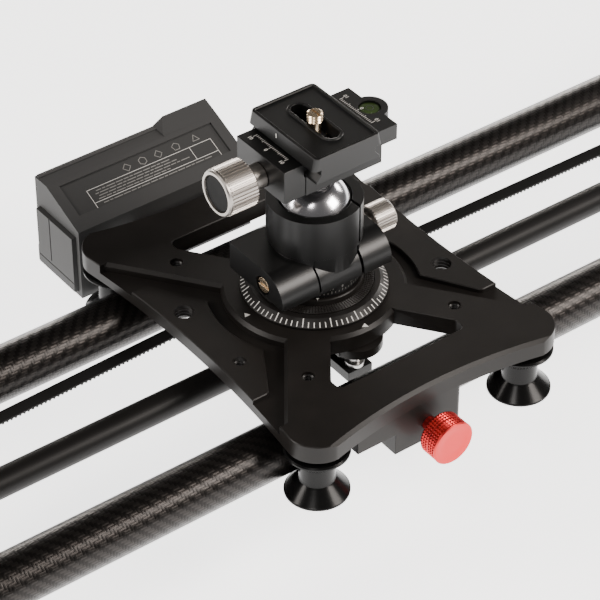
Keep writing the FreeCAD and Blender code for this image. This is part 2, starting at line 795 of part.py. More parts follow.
def follower():
    """The bush that slides on the guide rod, with the arm and pin of the pan linkage."""
    centre = ("rod_y", "rail_z - rod_drop")
    bush = rod("follower_sleeve", "X", 9, -11, 11, centre)
    bridge = box("follower_bridge", (-6, 6), (-31, -10), (up("-6"), up("-1.5")))
    bore = rod("follower_bore", "X", 5.98, -12, 12, centre)
    node("follower_bush", cut("follower_bored", fuse("follower_whole", bush, bridge), bore))
    pin = rod("follower_pin_shank", "Z", 2.5, up("-1.5"), up("6.5"), (0, -27))
    cap = rod("follower_pin_cap", "Z", 4, up("-1.5"), up("0.5"), (0, -27))
    node("follower_pin", fuse("follower_pin_whole", pin, cap))


# ----------------------------------------------------------------------- motor box
def motor_box():
    """Case behind the plate: shell, sloped label lid, battery, board, buttons."""
    points = [
        ("box_front", "box_low"), ("box_back", "box_low"), ("box_back", "box_high"),
        ("box_back - 9", "box_high"), ("box_front", "box_high - 10"),
    ]
    shell = slab("box_outer", "X", points, "box_left", "box_right")
    place(shell, "box_left", 0, "rail_z")
    inner = [
        ("box_front + 2", "box_low + 2"), ("box_back - 2", "box_low + 2"),
        ("box_back - 2", "box_high - 3.5"), ("box_back - 9", "box_high - 3.5"),
        ("box_front + 2", "box_high - 13"),
    ]
    room = slab("box_room", "X", inner, "box_left + 2", "box_right - 2")
    place(room, "box_left + 2", 0, "rail_z")
    hatch = box("box_hatch", ("box_left - 1", "box_left + 3"),
                ("box_front + 2.2", "box_back - 2.2"),
                (up("box_low + 2.2"), up("box_high - 13.6")))
    rise = [
        ("box_back - 9", "box_high - 1"), ("box_back", "box_high - 1"),
        ("box_back", "box_high + 3.4"), ("box_back - 9", "box_high"),
    ]
    hump = slab("box_hump", "X", rise, 1, "box_right")
    place(hump, 1, 0, "rail_z")
    flank = [("0", "box_high"), ("0", "box_high + 5"), ("9", "box_high + 5")]
    flank_cut = slab("box_hump_flank", "Y", flank, "box_back - 10", "box_back + 1")
    place(flank_cut, 0, "box_back - 10", "rail_z")
    hump = cut("box_hump_ramped", hump, flank_cut)
    skirt = box("box_skirt", ("box_left", "box_right"), ("box_back", "box_back + 1.2"),
                (up("box_low"), up("box_low + 8")))
    buttons = [
        rod("box_button_hole", "Y", 3.6, "box_back - 3", "box_back + 2", (x, up("14")))
        for x in (-8, 8)
    ]
    port = box("box_port", (17, 25.5), ("box_back - 3", "box_back + 2"), (up("12"), up("16")))
    lid_seat = slab("box_lid_seat", "X", lid_points("0"), "box_left + 5", "box_right - 5")
    place(lid_seat, "box_left + 5", 0, "rail_z")
    tongue = box("box_tongue", (-30, 20), ("box_front - 2.4", "box_front"),
                 (up("8"), up("plate_bottom - 0.4")))
    tongue_foot = box("box_tongue_foot", (-30, 20), ("box_front - 9", "box_front"),
                      (up("plate_bottom - 4"), up("plate_bottom")))
    whole = cut("box_cut", fuse("box_whole", shell, hump, skirt), room, hatch, port, lid_seat,
                *buttons)
    node("motor_box_case", fuse("box_case", whole, tongue, tongue_foot))
    lid = slab("box_lid", "X", lid_points("0.8"), "box_left + 5", "box_right - 5")
    place(lid, "box_left + 5", 0, "rail_z")
    node("motor_box_lid", lid)

    cell = box("battery_cell", ("box_left + 0.4", -14), ("box_front + 2.6", "box_back - 2.6"),
               (up("box_low + 2.6"), up("box_high - 14")))
    cover = box("battery_cover", ("box_left - 2", "box_left + 1"),
                ("box_front + 2.6", "box_back - 2.6"), (up("box_low + 2.6"), up("box_high - 14")))
    node("battery_pack", fuse("battery_whole", cell, cover))
    board = box("board_plate", (1, "box_right - 3"), ("box_back - 9", "box_back - 7.4"),
                (up("box_low + 4"), up("box_high - 6")))
    chips = [
        box("board_chip", (x, f"{x} + 6"), ("box_back - 10.5", "box_back - 9"),
            (up("0"), up("8")))
        for x in (4, 14)
    ]
    node("control_board", fuse("board_whole", board, *chips))
    for label, x in (("power_button", -8), ("mode_button", 8)):
        cap = rod(f"{label}_cap", "Y", 3.4, "box_back - 1.4", "box_back + 1.4", (x, up("14")))
        foot = rod(f"{label}_foot", "Y", 4.6, "box_back - 3.4", "box_back - 2.3", (x, up("14")))
        stem = rod(f"{label}_stem", "Y", 3.4, "box_back - 2.4", "box_back - 1.3", (x, up("14")))
        node(label, fuse(f"{label}_whole", cap, foot, stem))


def lid_points(drop):
    """The label lid's section: a thin plate let into the sloped top."""
    return [
        ("box_front + 4", f"box_high - 8.3 - {drop}"),
        ("box_back - 11", f"box_high - 0.8 - {drop}"),
        ("box_back - 11", "box_high - 3.2"), ("box_front + 4", "box_high - 10.8"),
    ]


# ------------------------------------------------------------------- dial and head
def pan_dial():
    """Graduated dial, ribbed platform, shaft and the linkage arm below the plate."""
    profile = [
        ("0", "dial_low"), ("dial_radius", "dial_low"), ("dial_radius", "dial_low + 0.8"),
        ("dial_radius - 3.4", "dial_high"), ("24.2", "dial_high"), ("24.2", "dial_high - 0.8"),
        ("0", "dial_high - 0.8"),
    ]
    node("pan_dial", lathe("pan_dial_body", "Z", profile, 0, 0, "rail_z"))
    shaft = rod("pan_shaft", "Z", "shaft_radius", up("13.6"), up("dial_low"), (0, 0))
    node("pan_shaft", shaft)
    profile = [
        ("0", "dial_high - 0.8"), ("24", "dial_high - 0.8"), ("24", "dial_high + 0.2"),
        ("20", "dial_high + 0.8"), ("20", "head_low - 0.4"), ("6", "head_low - 0.4"),
        ("6", "head_low + 6"), ("0", "head_low + 6"),
    ]
    node("ribbed_platform", lathe("platform_body", "Z", profile, 0, 0, "rail_z"))
    hub = rod("linkage_hub", "Z", 15, up("9.4"), up("13.6"), (0, 0))
    bar = box("linkage_bar", (-11, 11), (-31, 0), (up("9.4"), up("13.6")))
    tip = rod("linkage_tip", "Z", 11, up("9.4"), up("13.6"), (0, -27.5))
    slot = box("linkage_slot", (-4.5, 4.5), (-30, -22), (up("9"), up("14")))
    slot_ends = [rod("linkage_slot_end", "Z", 4.5, up("9"), up("14"), (0, y)) for y in (-30, -22)]
    node("linkage_arm", cut("linkage_cut", fuse("linkage_whole", hub, bar, tip), slot, *slot_ends))


def ball_head():
    """Split housing with its clamp screws, the ball and the stem under the clamp."""
    barrel = rod("head_barrel", "Z", "barrel_radius", up("head_low"), up("collar_top - 18"),
                 (0, 0))
    collar = rod("head_collar", "Z", "collar_radius", up("collar_top - 18"), up("collar_top"),
                 (0, 0))
    points = [
        ("-arm_block_front", "head_low + 5"), ("arm_block_back", "head_low + 5"),
        ("arm_block_back", "arm_block_top"), ("-arm_block_front", "arm_block_top"),
    ]
    square = slab("head_block", "X", points, "arm_block_left", "arm_block_right")
    place(square, "arm_block_left", 0, "rail_z")

    def crown(edge):
        """The block's front top edge."""
        return level(edge, z_of("arm_block_top")) and edge.BoundBox.YMax < 0

    block = rounded("head_block_crowned", square, "arm_block_round", crown)
    socket = ball("head_socket", "ball_radius + 0.3", 0, 0, up("ball_z"))
    mouth = taper("head_mouth", "Z", (13.6, 15.4), up("collar_top - 2"), up("collar_top + 0.5"),
                  (0, 0))
    split = box("head_split", (9, 10.2), (-25, 0), (up("arm_block_top - 14"),
                up("collar_top + 1")))
    groove = box("head_groove", (-12, -11.2), (-25, -14.5), (up("head_low + 6"),
                 up("arm_block_top + 1")))
    lock_bore = rod("head_lock_bore", "X", 2.58, 12, 30, (0, up("lock_z")))
    recess = rod("head_recess", "X", 4.2, "arm_block_left - 1", "arm_block_left + 2.4",
                 (-6, up("lock_z - 2")))
    recess_bore = rod("head_recess_bore", "X", 2.05, "arm_block_left + 1",
                      "arm_block_left + 12", (-6, up("lock_z - 2")))
    pan_bore = rod("head_pan_bore", "Z", 6.06, up("head_low - 1"), up("head_low + 6.4"), (0, 0))
    whole = fuse("head_whole", barrel, collar, block)
    node("head_housing", cut("head_cut", whole, socket, mouth, split, groove, lock_bore,
                             recess, recess_bore, pan_bore))
    screw = rod("friction_head", "X", 3.4, "arm_block_left + 0.4", "arm_block_left + 2.4",
                (-6, up("lock_z - 2")))
    screw_shank = rod("friction_shank", "X", 2, "arm_block_left + 2.3", "arm_block_left + 11.5",
                      (-6, up("lock_z - 2")))
    slot = box("friction_slot", ("arm_block_left", "arm_block_left + 1.2"), (-10, -2),
               (up("lock_z - 2.5"), up("lock_z - 1.5")))
    node("friction_screw", cut("friction_cut", fuse("friction_whole", screw, screw_shank), slot))
    spot = (0, up("lock_z"))
    grip = rod("lock_grip", "X", 6.6, "arm_block_right + 3.2", "arm_block_right + 13.5", spot)
    neck = rod("lock_neck", "X", 4, "arm_block_right + 0.3", "arm_block_right + 3.4", spot)
    shank = rod("lock_shank", "X", 2.5, 13, "arm_block_right + 1", spot)
    node("ball_lock_knob", fuse("lock_whole", grip, neck, shank))
    node("head_ball", ball("head_sphere", "ball_radius", 0, 0, up("ball_z")))


def clamp():
    """Stem, quick-release clamp, sliding jaw with its knob, bubble level."""
    stem = taper("stem_cone", "Z", (5.6, 9), up("ball_z + 13"), up("clamp_low"), (0, 0))
    hollow = ball("stem_hollow", "ball_radius + 0.1", 0, 0, up("ball_z"))
    low, high = (up("clamp_low"), up("jaw_top"))
    ys = ("clamp_y - clamp_half", "clamp_y + clamp_half")
    bed = box("clamp_bed", (-14.6, 22), ys, (low, up("clamp_floor")))
    wall_points = [
        ("flange_half + 0.3", "clamp_floor - 1"), ("wall_right", "clamp_floor - 1"),
        ("wall_right", "jaw_top"), ("waist_half + 0.4", "jaw_top"),
        ("waist_half + 0.4", "jaw_top - 1.6"), ("flange_half + 0.3", "clamp_floor + 2"),
    ]
    wall = slab("clamp_wall", "Y", wall_points, *ys)
    place(wall, 0, ys[0], "rail_z")
    lug = rod("clamp_lug", "Z", "vial_radius + 3", up("jaw_top - 9"), high, ("vial_x", "clamp_y"))
    cup = rod("clamp_vial_seat", "Z", "vial_radius + 0.1", up("jaw_top - 5"), f"{high} + 1",
              ("vial_x", "clamp_y"))
    guide = rod("clamp_screw_bore", "X", 2.58, -16, 18, ("clamp_y", up("clamp_knob_z")))
    body = fuse("clamp_whole", cut("stem_cut", stem, hollow), bed, wall, lug)
    node("clamp_body", cut("clamp_cut", body, cup, guide))
    vial = rod("vial_body", "Z", "vial_radius", up("jaw_top - 5"), up("jaw_top - 0.5"),
               ("vial_x", "clamp_y"))
    node("bubble_level", vial)

    jaw_points = [
        ("-14.9", "clamp_low + 0.2"), ("-14.9", "clamp_floor - 0.2"),
        ("-flange_half - 0.3", "clamp_floor"), ("-flange_half - 0.3", "clamp_floor + 2"),
        ("-waist_half - 0.4", "jaw_top - 1.6"), ("-waist_half - 0.4", "jaw_top"),
        ("-25", "jaw_top"), ("-25", "clamp_low + 0.2"),
    ]
    jaw = slab("jaw_body", "Y", jaw_points, *ys)
    place(jaw, 0, ys[0], "rail_z")
    jaw_bore = rod("jaw_bore", "X", 2.58, -26, -14, ("clamp_y", up("clamp_knob_z")))
    node("sliding_jaw", cut("jaw_cut", jaw, jaw_bore))
    spot = ("clamp_y", up("clamp_knob_z"))
    grip = rod("clamp_knob_grip", "X", 10, -45, -32, spot)
    rim = taper("clamp_knob_rim", "X", (9, 10), -46, -45, spot)
    dish = rod("clamp_knob_dish", "X", 7.6, -47, -44.6, spot)
    collar = rod("clamp_knob_collar", "X", 5.2, -32, -25.3, spot)
    screw = rod("clamp_knob_screw", "X", 2.5, -26, 12, spot)
    knob = fuse("clamp_knob_whole", cut("clamp_knob_dished", fuse("clamp_knob_turned", grip, rim),
                                        dish), collar, screw)
    node("clamp_knob", knob)
    node("clamp_knob_cap", rod("knob_cap", "X", 7.6, -45.2, -44.6, spot))


def quick_release():
    """Dovetail plate with its slot, side lips, retainer and camera screw."""
    profile = [
        ("-flange_half", "qr_low"), ("flange_half", "qr_low"),
        ("flange_half", "qr_low + 1.2"), ("waist_half", "qr_low + 3.8"),
        ("waist_half", "jaw_top + 0.2"), ("plate_half_x + plate_flare", "jaw_top + 0.4"),
        ("plate_half_x", "qr_top"), ("-plate_half_x", "qr_top"),
        ("-plate_half_x - plate_flare", "jaw_top + 0.4"), ("-waist_half", "jaw_top + 0.2"),
        ("-waist_half", "qr_low + 3.8"), ("-flange_half", "qr_low + 1.2"),
    ]
    blank = slab("qr_blank", "Y", profile, "-plate_half_y", "plate_half_y")
    place(blank, 0, "-plate_half_y", "rail_z")
    over = up("qr_top + 1")
    slot = box("qr_slot", (-3.4, 3.4), (-10, 10), (up("qr_low - 1"), over))
    ends = [rod("qr_slot_end", "Z", 3.4, up("qr_low - 1"), over, (0, y)) for y in (-10, 10)]
    pocket = box("qr_pocket", (-6.4, 6.4), (-11, 11), (up("qr_low - 1"), up("qr_low + 6")))
    pocket_ends = [
        rod("qr_pocket_end", "Z", 6.4, up("qr_low - 1"), up("qr_low + 6"), (0, y))
        for y in (-11, 11)
    ]
    plate = cut("qr_cut", blank, slot, *ends, pocket, *pocket_ends)

    def corner(edge):
        """The four upright corners of the plate."""
        bounds = edge.BoundBox
        wide = abs(bounds.Center.x) > SIZES["plate_half_x"]
        return wide and bounds.ZLength > 3 and bounds.YLength < 0.01

    node("quick_release_plate", rounded("qr_rounded", plate, "2", corner))
    ring = rod("retainer_ring", "Z", 4.6, up("qr_low + 4.6"), up("qr_low + 5.8"), (0, 0))
    hole = rod("retainer_hole", "Z", 2.6, up("qr_low + 4"), up("qr_low + 7"), (0, 0))
    node("screw_retainer", cut("retainer_cut", ring, hole))
    head = rod("camera_screw_head", "Z", 5.6, up("qr_low + 0.8"), up("qr_low + 4.4"), (0, 0))
    neck = rod("camera_screw_neck", "Z", 2.5, up("qr_low + 4.3"), up("qr_top"), (0, 0))
    thread = rod("camera_screw_thread", "Z", "screw_radius", up("qr_top"), up("qr_top + 3.6"),
                 (0, 0))
    tip = taper("camera_screw_tip", "Z", ("screw_radius", "screw_radius - 0.6"),
                up("qr_top + 3.6"), up("qr_top + 4.2"), (0, 0))
    node("camera_screw", fuse("camera_screw_whole", head, neck, thread, tip))


def main():
    """Build every sub-part, check it and write its file."""
    rails()
    end_block("left", "-")
    end_block("right", "")
    frame_screws()
    belt_clamps()
    bumpers()
    for end, y_sign in (("front", "-"), ("back", "")):
        for side, x_sign in (("left", "-"), ("right", "")):
            leg(side, end, x_sign, y_sign)
    pivot_bolts()
    belt_run("left", "-", "belt_left_z", -SIZES["idler_x"] - 6.2)
    belt_run("right", "", "belt_right_z", SIZES["idler_x"] + 6.2)
    belt_loop()
    drive()
    carriage_plate()
    for end, y in (("front", "-roller_y"), ("back", "roller_y")):
        for side, x in (("left", "-roller_x"), ("right", "roller_x")):
            roller(side, end, x, y)
    axles()
    brake()
    follower()
    motor_box()
    pan_dial()
    ball_head()
    clamp()
    quick_release()
    doc.recompute()
    faults = [item.Label for item in doc.Objects if {"Invalid", "Error"} & set(item.State)]
    for item in NODES:
        shape = item.Shape
        if shape.isNull() or not shape.isValid() or not shape.Solids:
            faults.append(f"shape of {item.Label}")
    if faults:
        raise RuntimeError("failed: " + ", ".join(faults))
    os.makedirs("parts", exist_ok=True)
    for item in NODES:
        item.Shape.exportStep(f"parts/{item.Label}.step")
        bounds = item.Shape.BoundBox
        print(f"{item.Label}: {len(item.Shape.Solids)} solids, {item.Shape.Volume:.0f} mm3, "
              f"x {bounds.XMin:.1f}..{bounds.XMax:.1f} y {bounds.YMin:.1f}..{bounds.YMax:.1f} "
              f"z {bounds.ZMin:.1f}..{bounds.ZMax:.1f}")


main()
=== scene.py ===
"""Looks of a motorised camera slider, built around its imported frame.

X runs along the rails, Y to the side of the motor box, Z up from the floor. Sizes of the
slider are in millimetres, and a mesh is brought to metres when it is made. The lights, the
floor and the camera are placed in metres.
"""
import logging
import math
from contextlib import contextmanager
from dataclasses import dataclass
from enum import Enum
from typing import Callable, Iterator, Optional, Sequence

import bmesh
import bpy
from mathutils import Matrix, Vector


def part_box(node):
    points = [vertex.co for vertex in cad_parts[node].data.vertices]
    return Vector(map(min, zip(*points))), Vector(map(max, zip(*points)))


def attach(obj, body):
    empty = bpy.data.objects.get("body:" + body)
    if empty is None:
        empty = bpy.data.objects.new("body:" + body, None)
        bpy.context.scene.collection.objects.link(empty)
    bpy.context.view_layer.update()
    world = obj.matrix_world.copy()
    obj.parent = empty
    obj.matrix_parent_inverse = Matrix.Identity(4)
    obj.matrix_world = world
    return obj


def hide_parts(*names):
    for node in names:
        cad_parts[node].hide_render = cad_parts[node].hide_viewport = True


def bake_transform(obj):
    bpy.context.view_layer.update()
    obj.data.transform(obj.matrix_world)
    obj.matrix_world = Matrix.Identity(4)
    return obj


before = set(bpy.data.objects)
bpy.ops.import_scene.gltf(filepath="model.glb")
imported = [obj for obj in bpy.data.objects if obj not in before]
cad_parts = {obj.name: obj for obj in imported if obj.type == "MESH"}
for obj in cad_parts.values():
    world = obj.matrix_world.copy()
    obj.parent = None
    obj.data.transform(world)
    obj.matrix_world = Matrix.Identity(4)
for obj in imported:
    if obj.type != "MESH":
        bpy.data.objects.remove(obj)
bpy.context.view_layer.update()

LOG = logging.getLogger("camera_slider")

MM = 0.001  # a millimetre, in metres
MERGE_GAP = 0.002  # points of a CAD mesh nearer than this are one, in millimetres
FLAT_FOLD = 0.3  # faces of a CAD mesh that fold less than this are one, in degrees
PRINT_SUNK = 0.02  # how deep a printed mark starts under its surface, in millimetres
PRINT_PROUD = 0.05  # how far it stands out
TYPE_BODY = 1.4  # size of the type for figures one high
RIB_SLOPE = 0.16  # width of a rib's flank, in millimetres
NOISE_LOW = 0.3  # most of a noise lies between these two
NOISE_HIGH = 0.7

Triple = tuple[float, float, float]
Profile = Sequence[tuple[float, float]]
FaceTest = Callable[[Vector, Vector], bool]
EdgeTest = Callable[[Vector, Vector, float], bool]


class Facing(Enum):
    """The way that a piece turned about Z faces once it is laid down."""

    RIGHT = (90, "Y")
    LEFT = (-90, "Y")
    FRONT = (90, "X")
    BACK = (-90, "X")

    def turn(self) -> Matrix:
        """The rotation that brings Z round to this way."""
        return rotation(*self.value)


class Pick(Enum):
    """What edit mode selects."""

    EDGE = "EDGE"
    FACE = "FACE"


def rotation(degrees: float, axis: str = "Z") -> Matrix:
    """A rotation about one of the world's axes."""
    return Matrix.Rotation(math.radians(degrees), 4, axis)


# ------------------------------------------------------------------ modelling steps
def clear_selection() -> None:
    """Deselect every object."""
    for item in bpy.context.selected_objects:
        item.select_set(False)


def take(obj: bpy.types.Object) -> None:
    """Make one object the only selected one, and active.

    Args:
        obj: the object to work on.
    """
    clear_selection()
    obj.select_set(True)
    bpy.context.view_layer.objects.active = obj


@contextmanager
def editing(obj: bpy.types.Object, pick: Pick = Pick.FACE) -> Iterator[None]:
    """Open a mesh in edit mode, and close it again.

    Args:
        obj: the mesh object.
        pick: what is selected while it is open.
    """
    take(obj)
    bpy.ops.object.mode_set(mode="EDIT")
    bpy.ops.mesh.select_mode(type=pick.value)
    try:
        yield
    finally:
        bpy.ops.object.mode_set(mode="OBJECT")


def choose_faces(obj: bpy.types.Object, test: FaceTest) -> None:
    """Select the faces whose centre (mm) and normal pass a test, in edit mode.

    Args:
        obj: the mesh being edited.
        test: takes a face's centre and normal.
    """
    bpy.ops.mesh.select_all(action="DESELECT")
    mesh = bmesh.from_edit_mesh(obj.data)
    mesh.normal_update()
    for face in mesh.faces:
        face.select_set(test(face.calc_center_median() / MM, face.normal))
    bmesh.update_edit_mesh(obj.data)


def choose_edges(obj: bpy.types.Object, test: EdgeTest) -> None:
    """Select the edges whose two ends (mm) and fold (degrees) pass a test, in edit mode.

    Args:
        obj: the mesh being edited.
        test: takes an edge's two ends and the angle between its faces.
    """
    bpy.ops.mesh.select_all(action="DESELECT")
    mesh = bmesh.from_edit_mesh(obj.data)
    mesh.normal_update()
    for edge in mesh.edges:
        fold = math.degrees(edge.calc_face_angle(0.0))
        edge.select_set(test(edge.verts[0].co / MM, edge.verts[1].co / MM, fold))
    bmesh.update_edit_mesh(obj.data)


def named(obj: bpy.types.Object, name: str) -> bpy.types.Object:
    """Give an object and its mesh one name.

    Args:
        obj: the mesh object.
        name: the name for both.

    Returns:
        The same object.
    """
    obj.name = name
    obj.data.name = name
    return obj


def settle(obj: bpy.types.Object) -> bpy.types.Object:
    """Apply an object's place to its mesh and point its faces outwards.

    Args:
        obj: the mesh object.

    Returns:
        The same object, with its own origin at the world's.
    """
    take(obj)
    bpy.ops.object.transform_apply(location=True, rotation=True, scale=True)
    with editing(obj):
        bpy.ops.mesh.select_all(action="SELECT")
        bpy.ops.mesh.normals_make_consistent(inside=False)
    return obj


def moved(obj: bpy.types.Object, spot: Triple, turn: Matrix = Matrix.Identity(4)) -> bpy.types.Object:
    """Turn a mesh made about the origin and carry it to its place.

    Args:
        obj: the mesh object, with its own origin at the world's.
        spot: where the mesh's zero point goes, in millimetres.
        turn: the rotation made first.

    Returns:
        The same object.
    """
    obj.matrix_world = Matrix.Translation(Vector(spot) * MM) @ turn
    take(obj)
    bpy.ops.object.transform_apply(location=True, rotation=True, scale=True)
    return obj


def block(name: str, low: Triple, high: Triple) -> bpy.types.Object:
    """A cube stretched between two corners, to be shaped further.

    Args:
        name: the piece's name.
        low: lowest corner in millimetres.
        high: highest corner in millimetres.

    Returns:
        The mesh object, in place.
    """
    clear_selection()
    first, last = Vector(low) * MM, Vector(high) * MM
    bpy.ops.mesh.primitive_cube_add(size=1, location=(first + last) / 2)
    obj = bpy.context.object
    obj.scale = last - first
    return settle(named(obj, name))


def turned(name: str, profile: Profile, sides: int = 64) -> bpy.types.Object:
    """A lathe piece about Z: a disc drawn out ring by ring.

    Args:
        name: the piece's name.
        profile: (radius, height) pairs in millimetres, closed by a disc at both ends.
        sides: how many facets go round.

    Returns:
        The mesh object, about the origin.
    """
    clear_selection()
    radius, height = profile[0]
    bpy.ops.mesh.primitive_circle_add(
        vertices=sides, radius=radius * MM, fill_type="NGON", location=(0, 0, height * MM)
    )
    obj = named(bpy.context.object, name)
    take(obj)
    bpy.ops.object.transform_apply(location=True, rotation=True, scale=True)
    with editing(obj):
        bpy.ops.mesh.select_all(action="SELECT")
        for next_radius, next_height in profile[1:]:
            lift = (0, 0, (next_height - height) * MM)
            bpy.ops.mesh.extrude_region_move(TRANSFORM_OT_translate={"value": lift})
            ratio = next_radius / radius
            bpy.ops.transform.resize(
                value=(ratio, ratio, 1), center_override=(0, 0, next_height * MM)
            )
            radius, height = next_radius, next_height
        bpy.ops.mesh.select_all(action="SELECT")
        bpy.ops.mesh.normals_make_consistent(inside=False)
    return obj


def fluted(name: str, profile: Profile, ribs: int, depth: float,
           band: tuple[float, float]) -> bpy.types.Object:
    """A turned knob with straight ribs along its grip.

    Args:
        name: the piece's name.
        profile: (radius, height) pairs in millimetres.
        ribs: how many ribs go round.
        depth: how far they stand out, in millimetres.
        band: the lowest and highest point of the grip along the axis.

    Returns:
        The mesh object, about the origin.
    """
    knob = turned(name, profile, ribs * 2)
    step = 180 / ribs
    with editing(knob):
        choose_faces(knob, lambda spot, normal: abs(normal.z) < 0.05
                     and band[0] < spot.z < band[1]
                     and int(math.degrees(math.atan2(spot.y, spot.x)) % 360 / step) % 2 == 0)
        bpy.ops.mesh.inset(thickness=RIB_SLOPE * MM, depth=depth * MM, use_individual=True)
    return knob


def rounded(obj: bpy.types.Object, width: float, segments: int = 2, fold: float = 35) -> None:
    """Break the edges of a mesh with a bevel, applied.

    Args:
        obj: the mesh object.
        width: the bevel's width in millimetres.
        segments: facets across it.
        fold: the least angle between two faces that counts as an edge, in degrees.
    """
    take(obj)
    bevel = obj.modifiers.new("edge_break", "BEVEL")
    bevel.width = width * MM
    bevel.segments = segments
    bevel.limit_method = "ANGLE"
    bevel.angle_limit = math.radians(fold)
    bevel.use_clamp_overlap = True
    bpy.ops.object.modifier_apply(modifier=bevel.name)


def carved(obj: bpy.types.Object, tool: bpy.types.Object) -> None:
    """Cut a tool out of a mesh, and remove the tool.

    Args:
        obj: the mesh object that stays.
        tool: the mesh object used up.
    """
    take(obj)
    step = obj.modifiers.new("carve", "BOOLEAN")
    step.operation = "DIFFERENCE"
    step.solver = "EXACT"
    step.object = tool
    bpy.ops.object.modifier_apply(modifier=step.name)
    bpy.data.objects.remove(tool)


def joined(name: str, parts: Sequence[bpy.types.Object]) -> bpy.types.Object:
    """Join several meshes in one object.

    Args:
        name: the joined piece's name.
        parts: the mesh objects, used up but for the first.

    Returns:
        The joined object.
    """
    clear_selection()
    for part in parts:
        part.select_set(True)
    bpy.context.view_layer.objects.active = parts[0]
    if len(parts) > 1:
        bpy.ops.object.join()
    return named(parts[0], name)


def copies(obj: bpy.types.Object, steps: Sequence[Matrix]) -> list[bpy.types.Object]:
    """Copies of a modelled piece, each with its own mesh; the model is used up.

    Args:
        obj: the mesh object that is repeated.
        steps: how each copy is moved from the model's place, in metres.

    Returns:
        One mesh object for each step.
    """
    twins = []
    for step in steps:
        twin = bpy.data.objects.new(obj.name, obj.data.copy())
        bpy.context.scene.collection.objects.link(twin)
        twin.data.transform(step)
        twins.append(twin)
    bpy.data.objects.remove(obj)
    return twins


def shift(x: float, y: float, z: float) -> Matrix:
    """A move in millimetres, as a matrix in metres."""
    return Matrix.Translation(Vector((x, y, z)) * MM)


def node_middle(node: str) -> Vector:
    """The middle of a CAD node's box, in millimetres."""
    low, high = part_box(node)
    return (low + high) / 2 / MM


def from_node(node: str, name: str) -> bpy.types.Object:
    """A merged copy of a CAD node's mesh, ready for edge work.

    Args:
        node: the CAD node.
        name: the new piece's name.

    Returns:
        The mesh object.
    """
    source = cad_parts[node]
    obj = bpy.data.objects.new(name, source.data.copy())
    bpy.context.scene.collection.objects.link(obj)
    obj.data.name = name
    obj.data.materials.clear()
    take(obj)
    if obj.data.has_custom_normals:
        bpy.ops.mesh.customdata_custom_splitnormals_clear()
    with editing(obj):
        bpy.ops.mesh.select_all(action="SELECT")
        bpy.ops.mesh.remove_doubles(threshold=MERGE_GAP * MM)
        bpy.ops.mesh.dissolve_limited(angle_limit=math.radians(FLAT_FOLD))
    return obj


def numeral(text: str, height: float, spot: Triple, turn: Matrix) -> bpy.types.Object:
    """A raised figure of a scale.

    Args:
        text: the digits.
        height: their height in millimetres.
        spot: the figure's middle in millimetres.
        turn: how it lies; unturned it lies flat and reads along X.

    Returns:
        The mesh object, in place.
    """
    clear_selection()
    bpy.ops.object.text_add(location=(0, 0, 0))
    obj = bpy.context.object
    obj.data.body = text
    obj.data.align_x = "CENTER"
    obj.data.align_y = "CENTER"
    obj.data.size = height * TYPE_BODY * MM
    obj.data.extrude = PRINT_SUNK * MM
    obj.data.resolution_u = 3
    bpy.ops.object.convert(target="MESH")
    return moved(bpy.context.object, spot, turn)


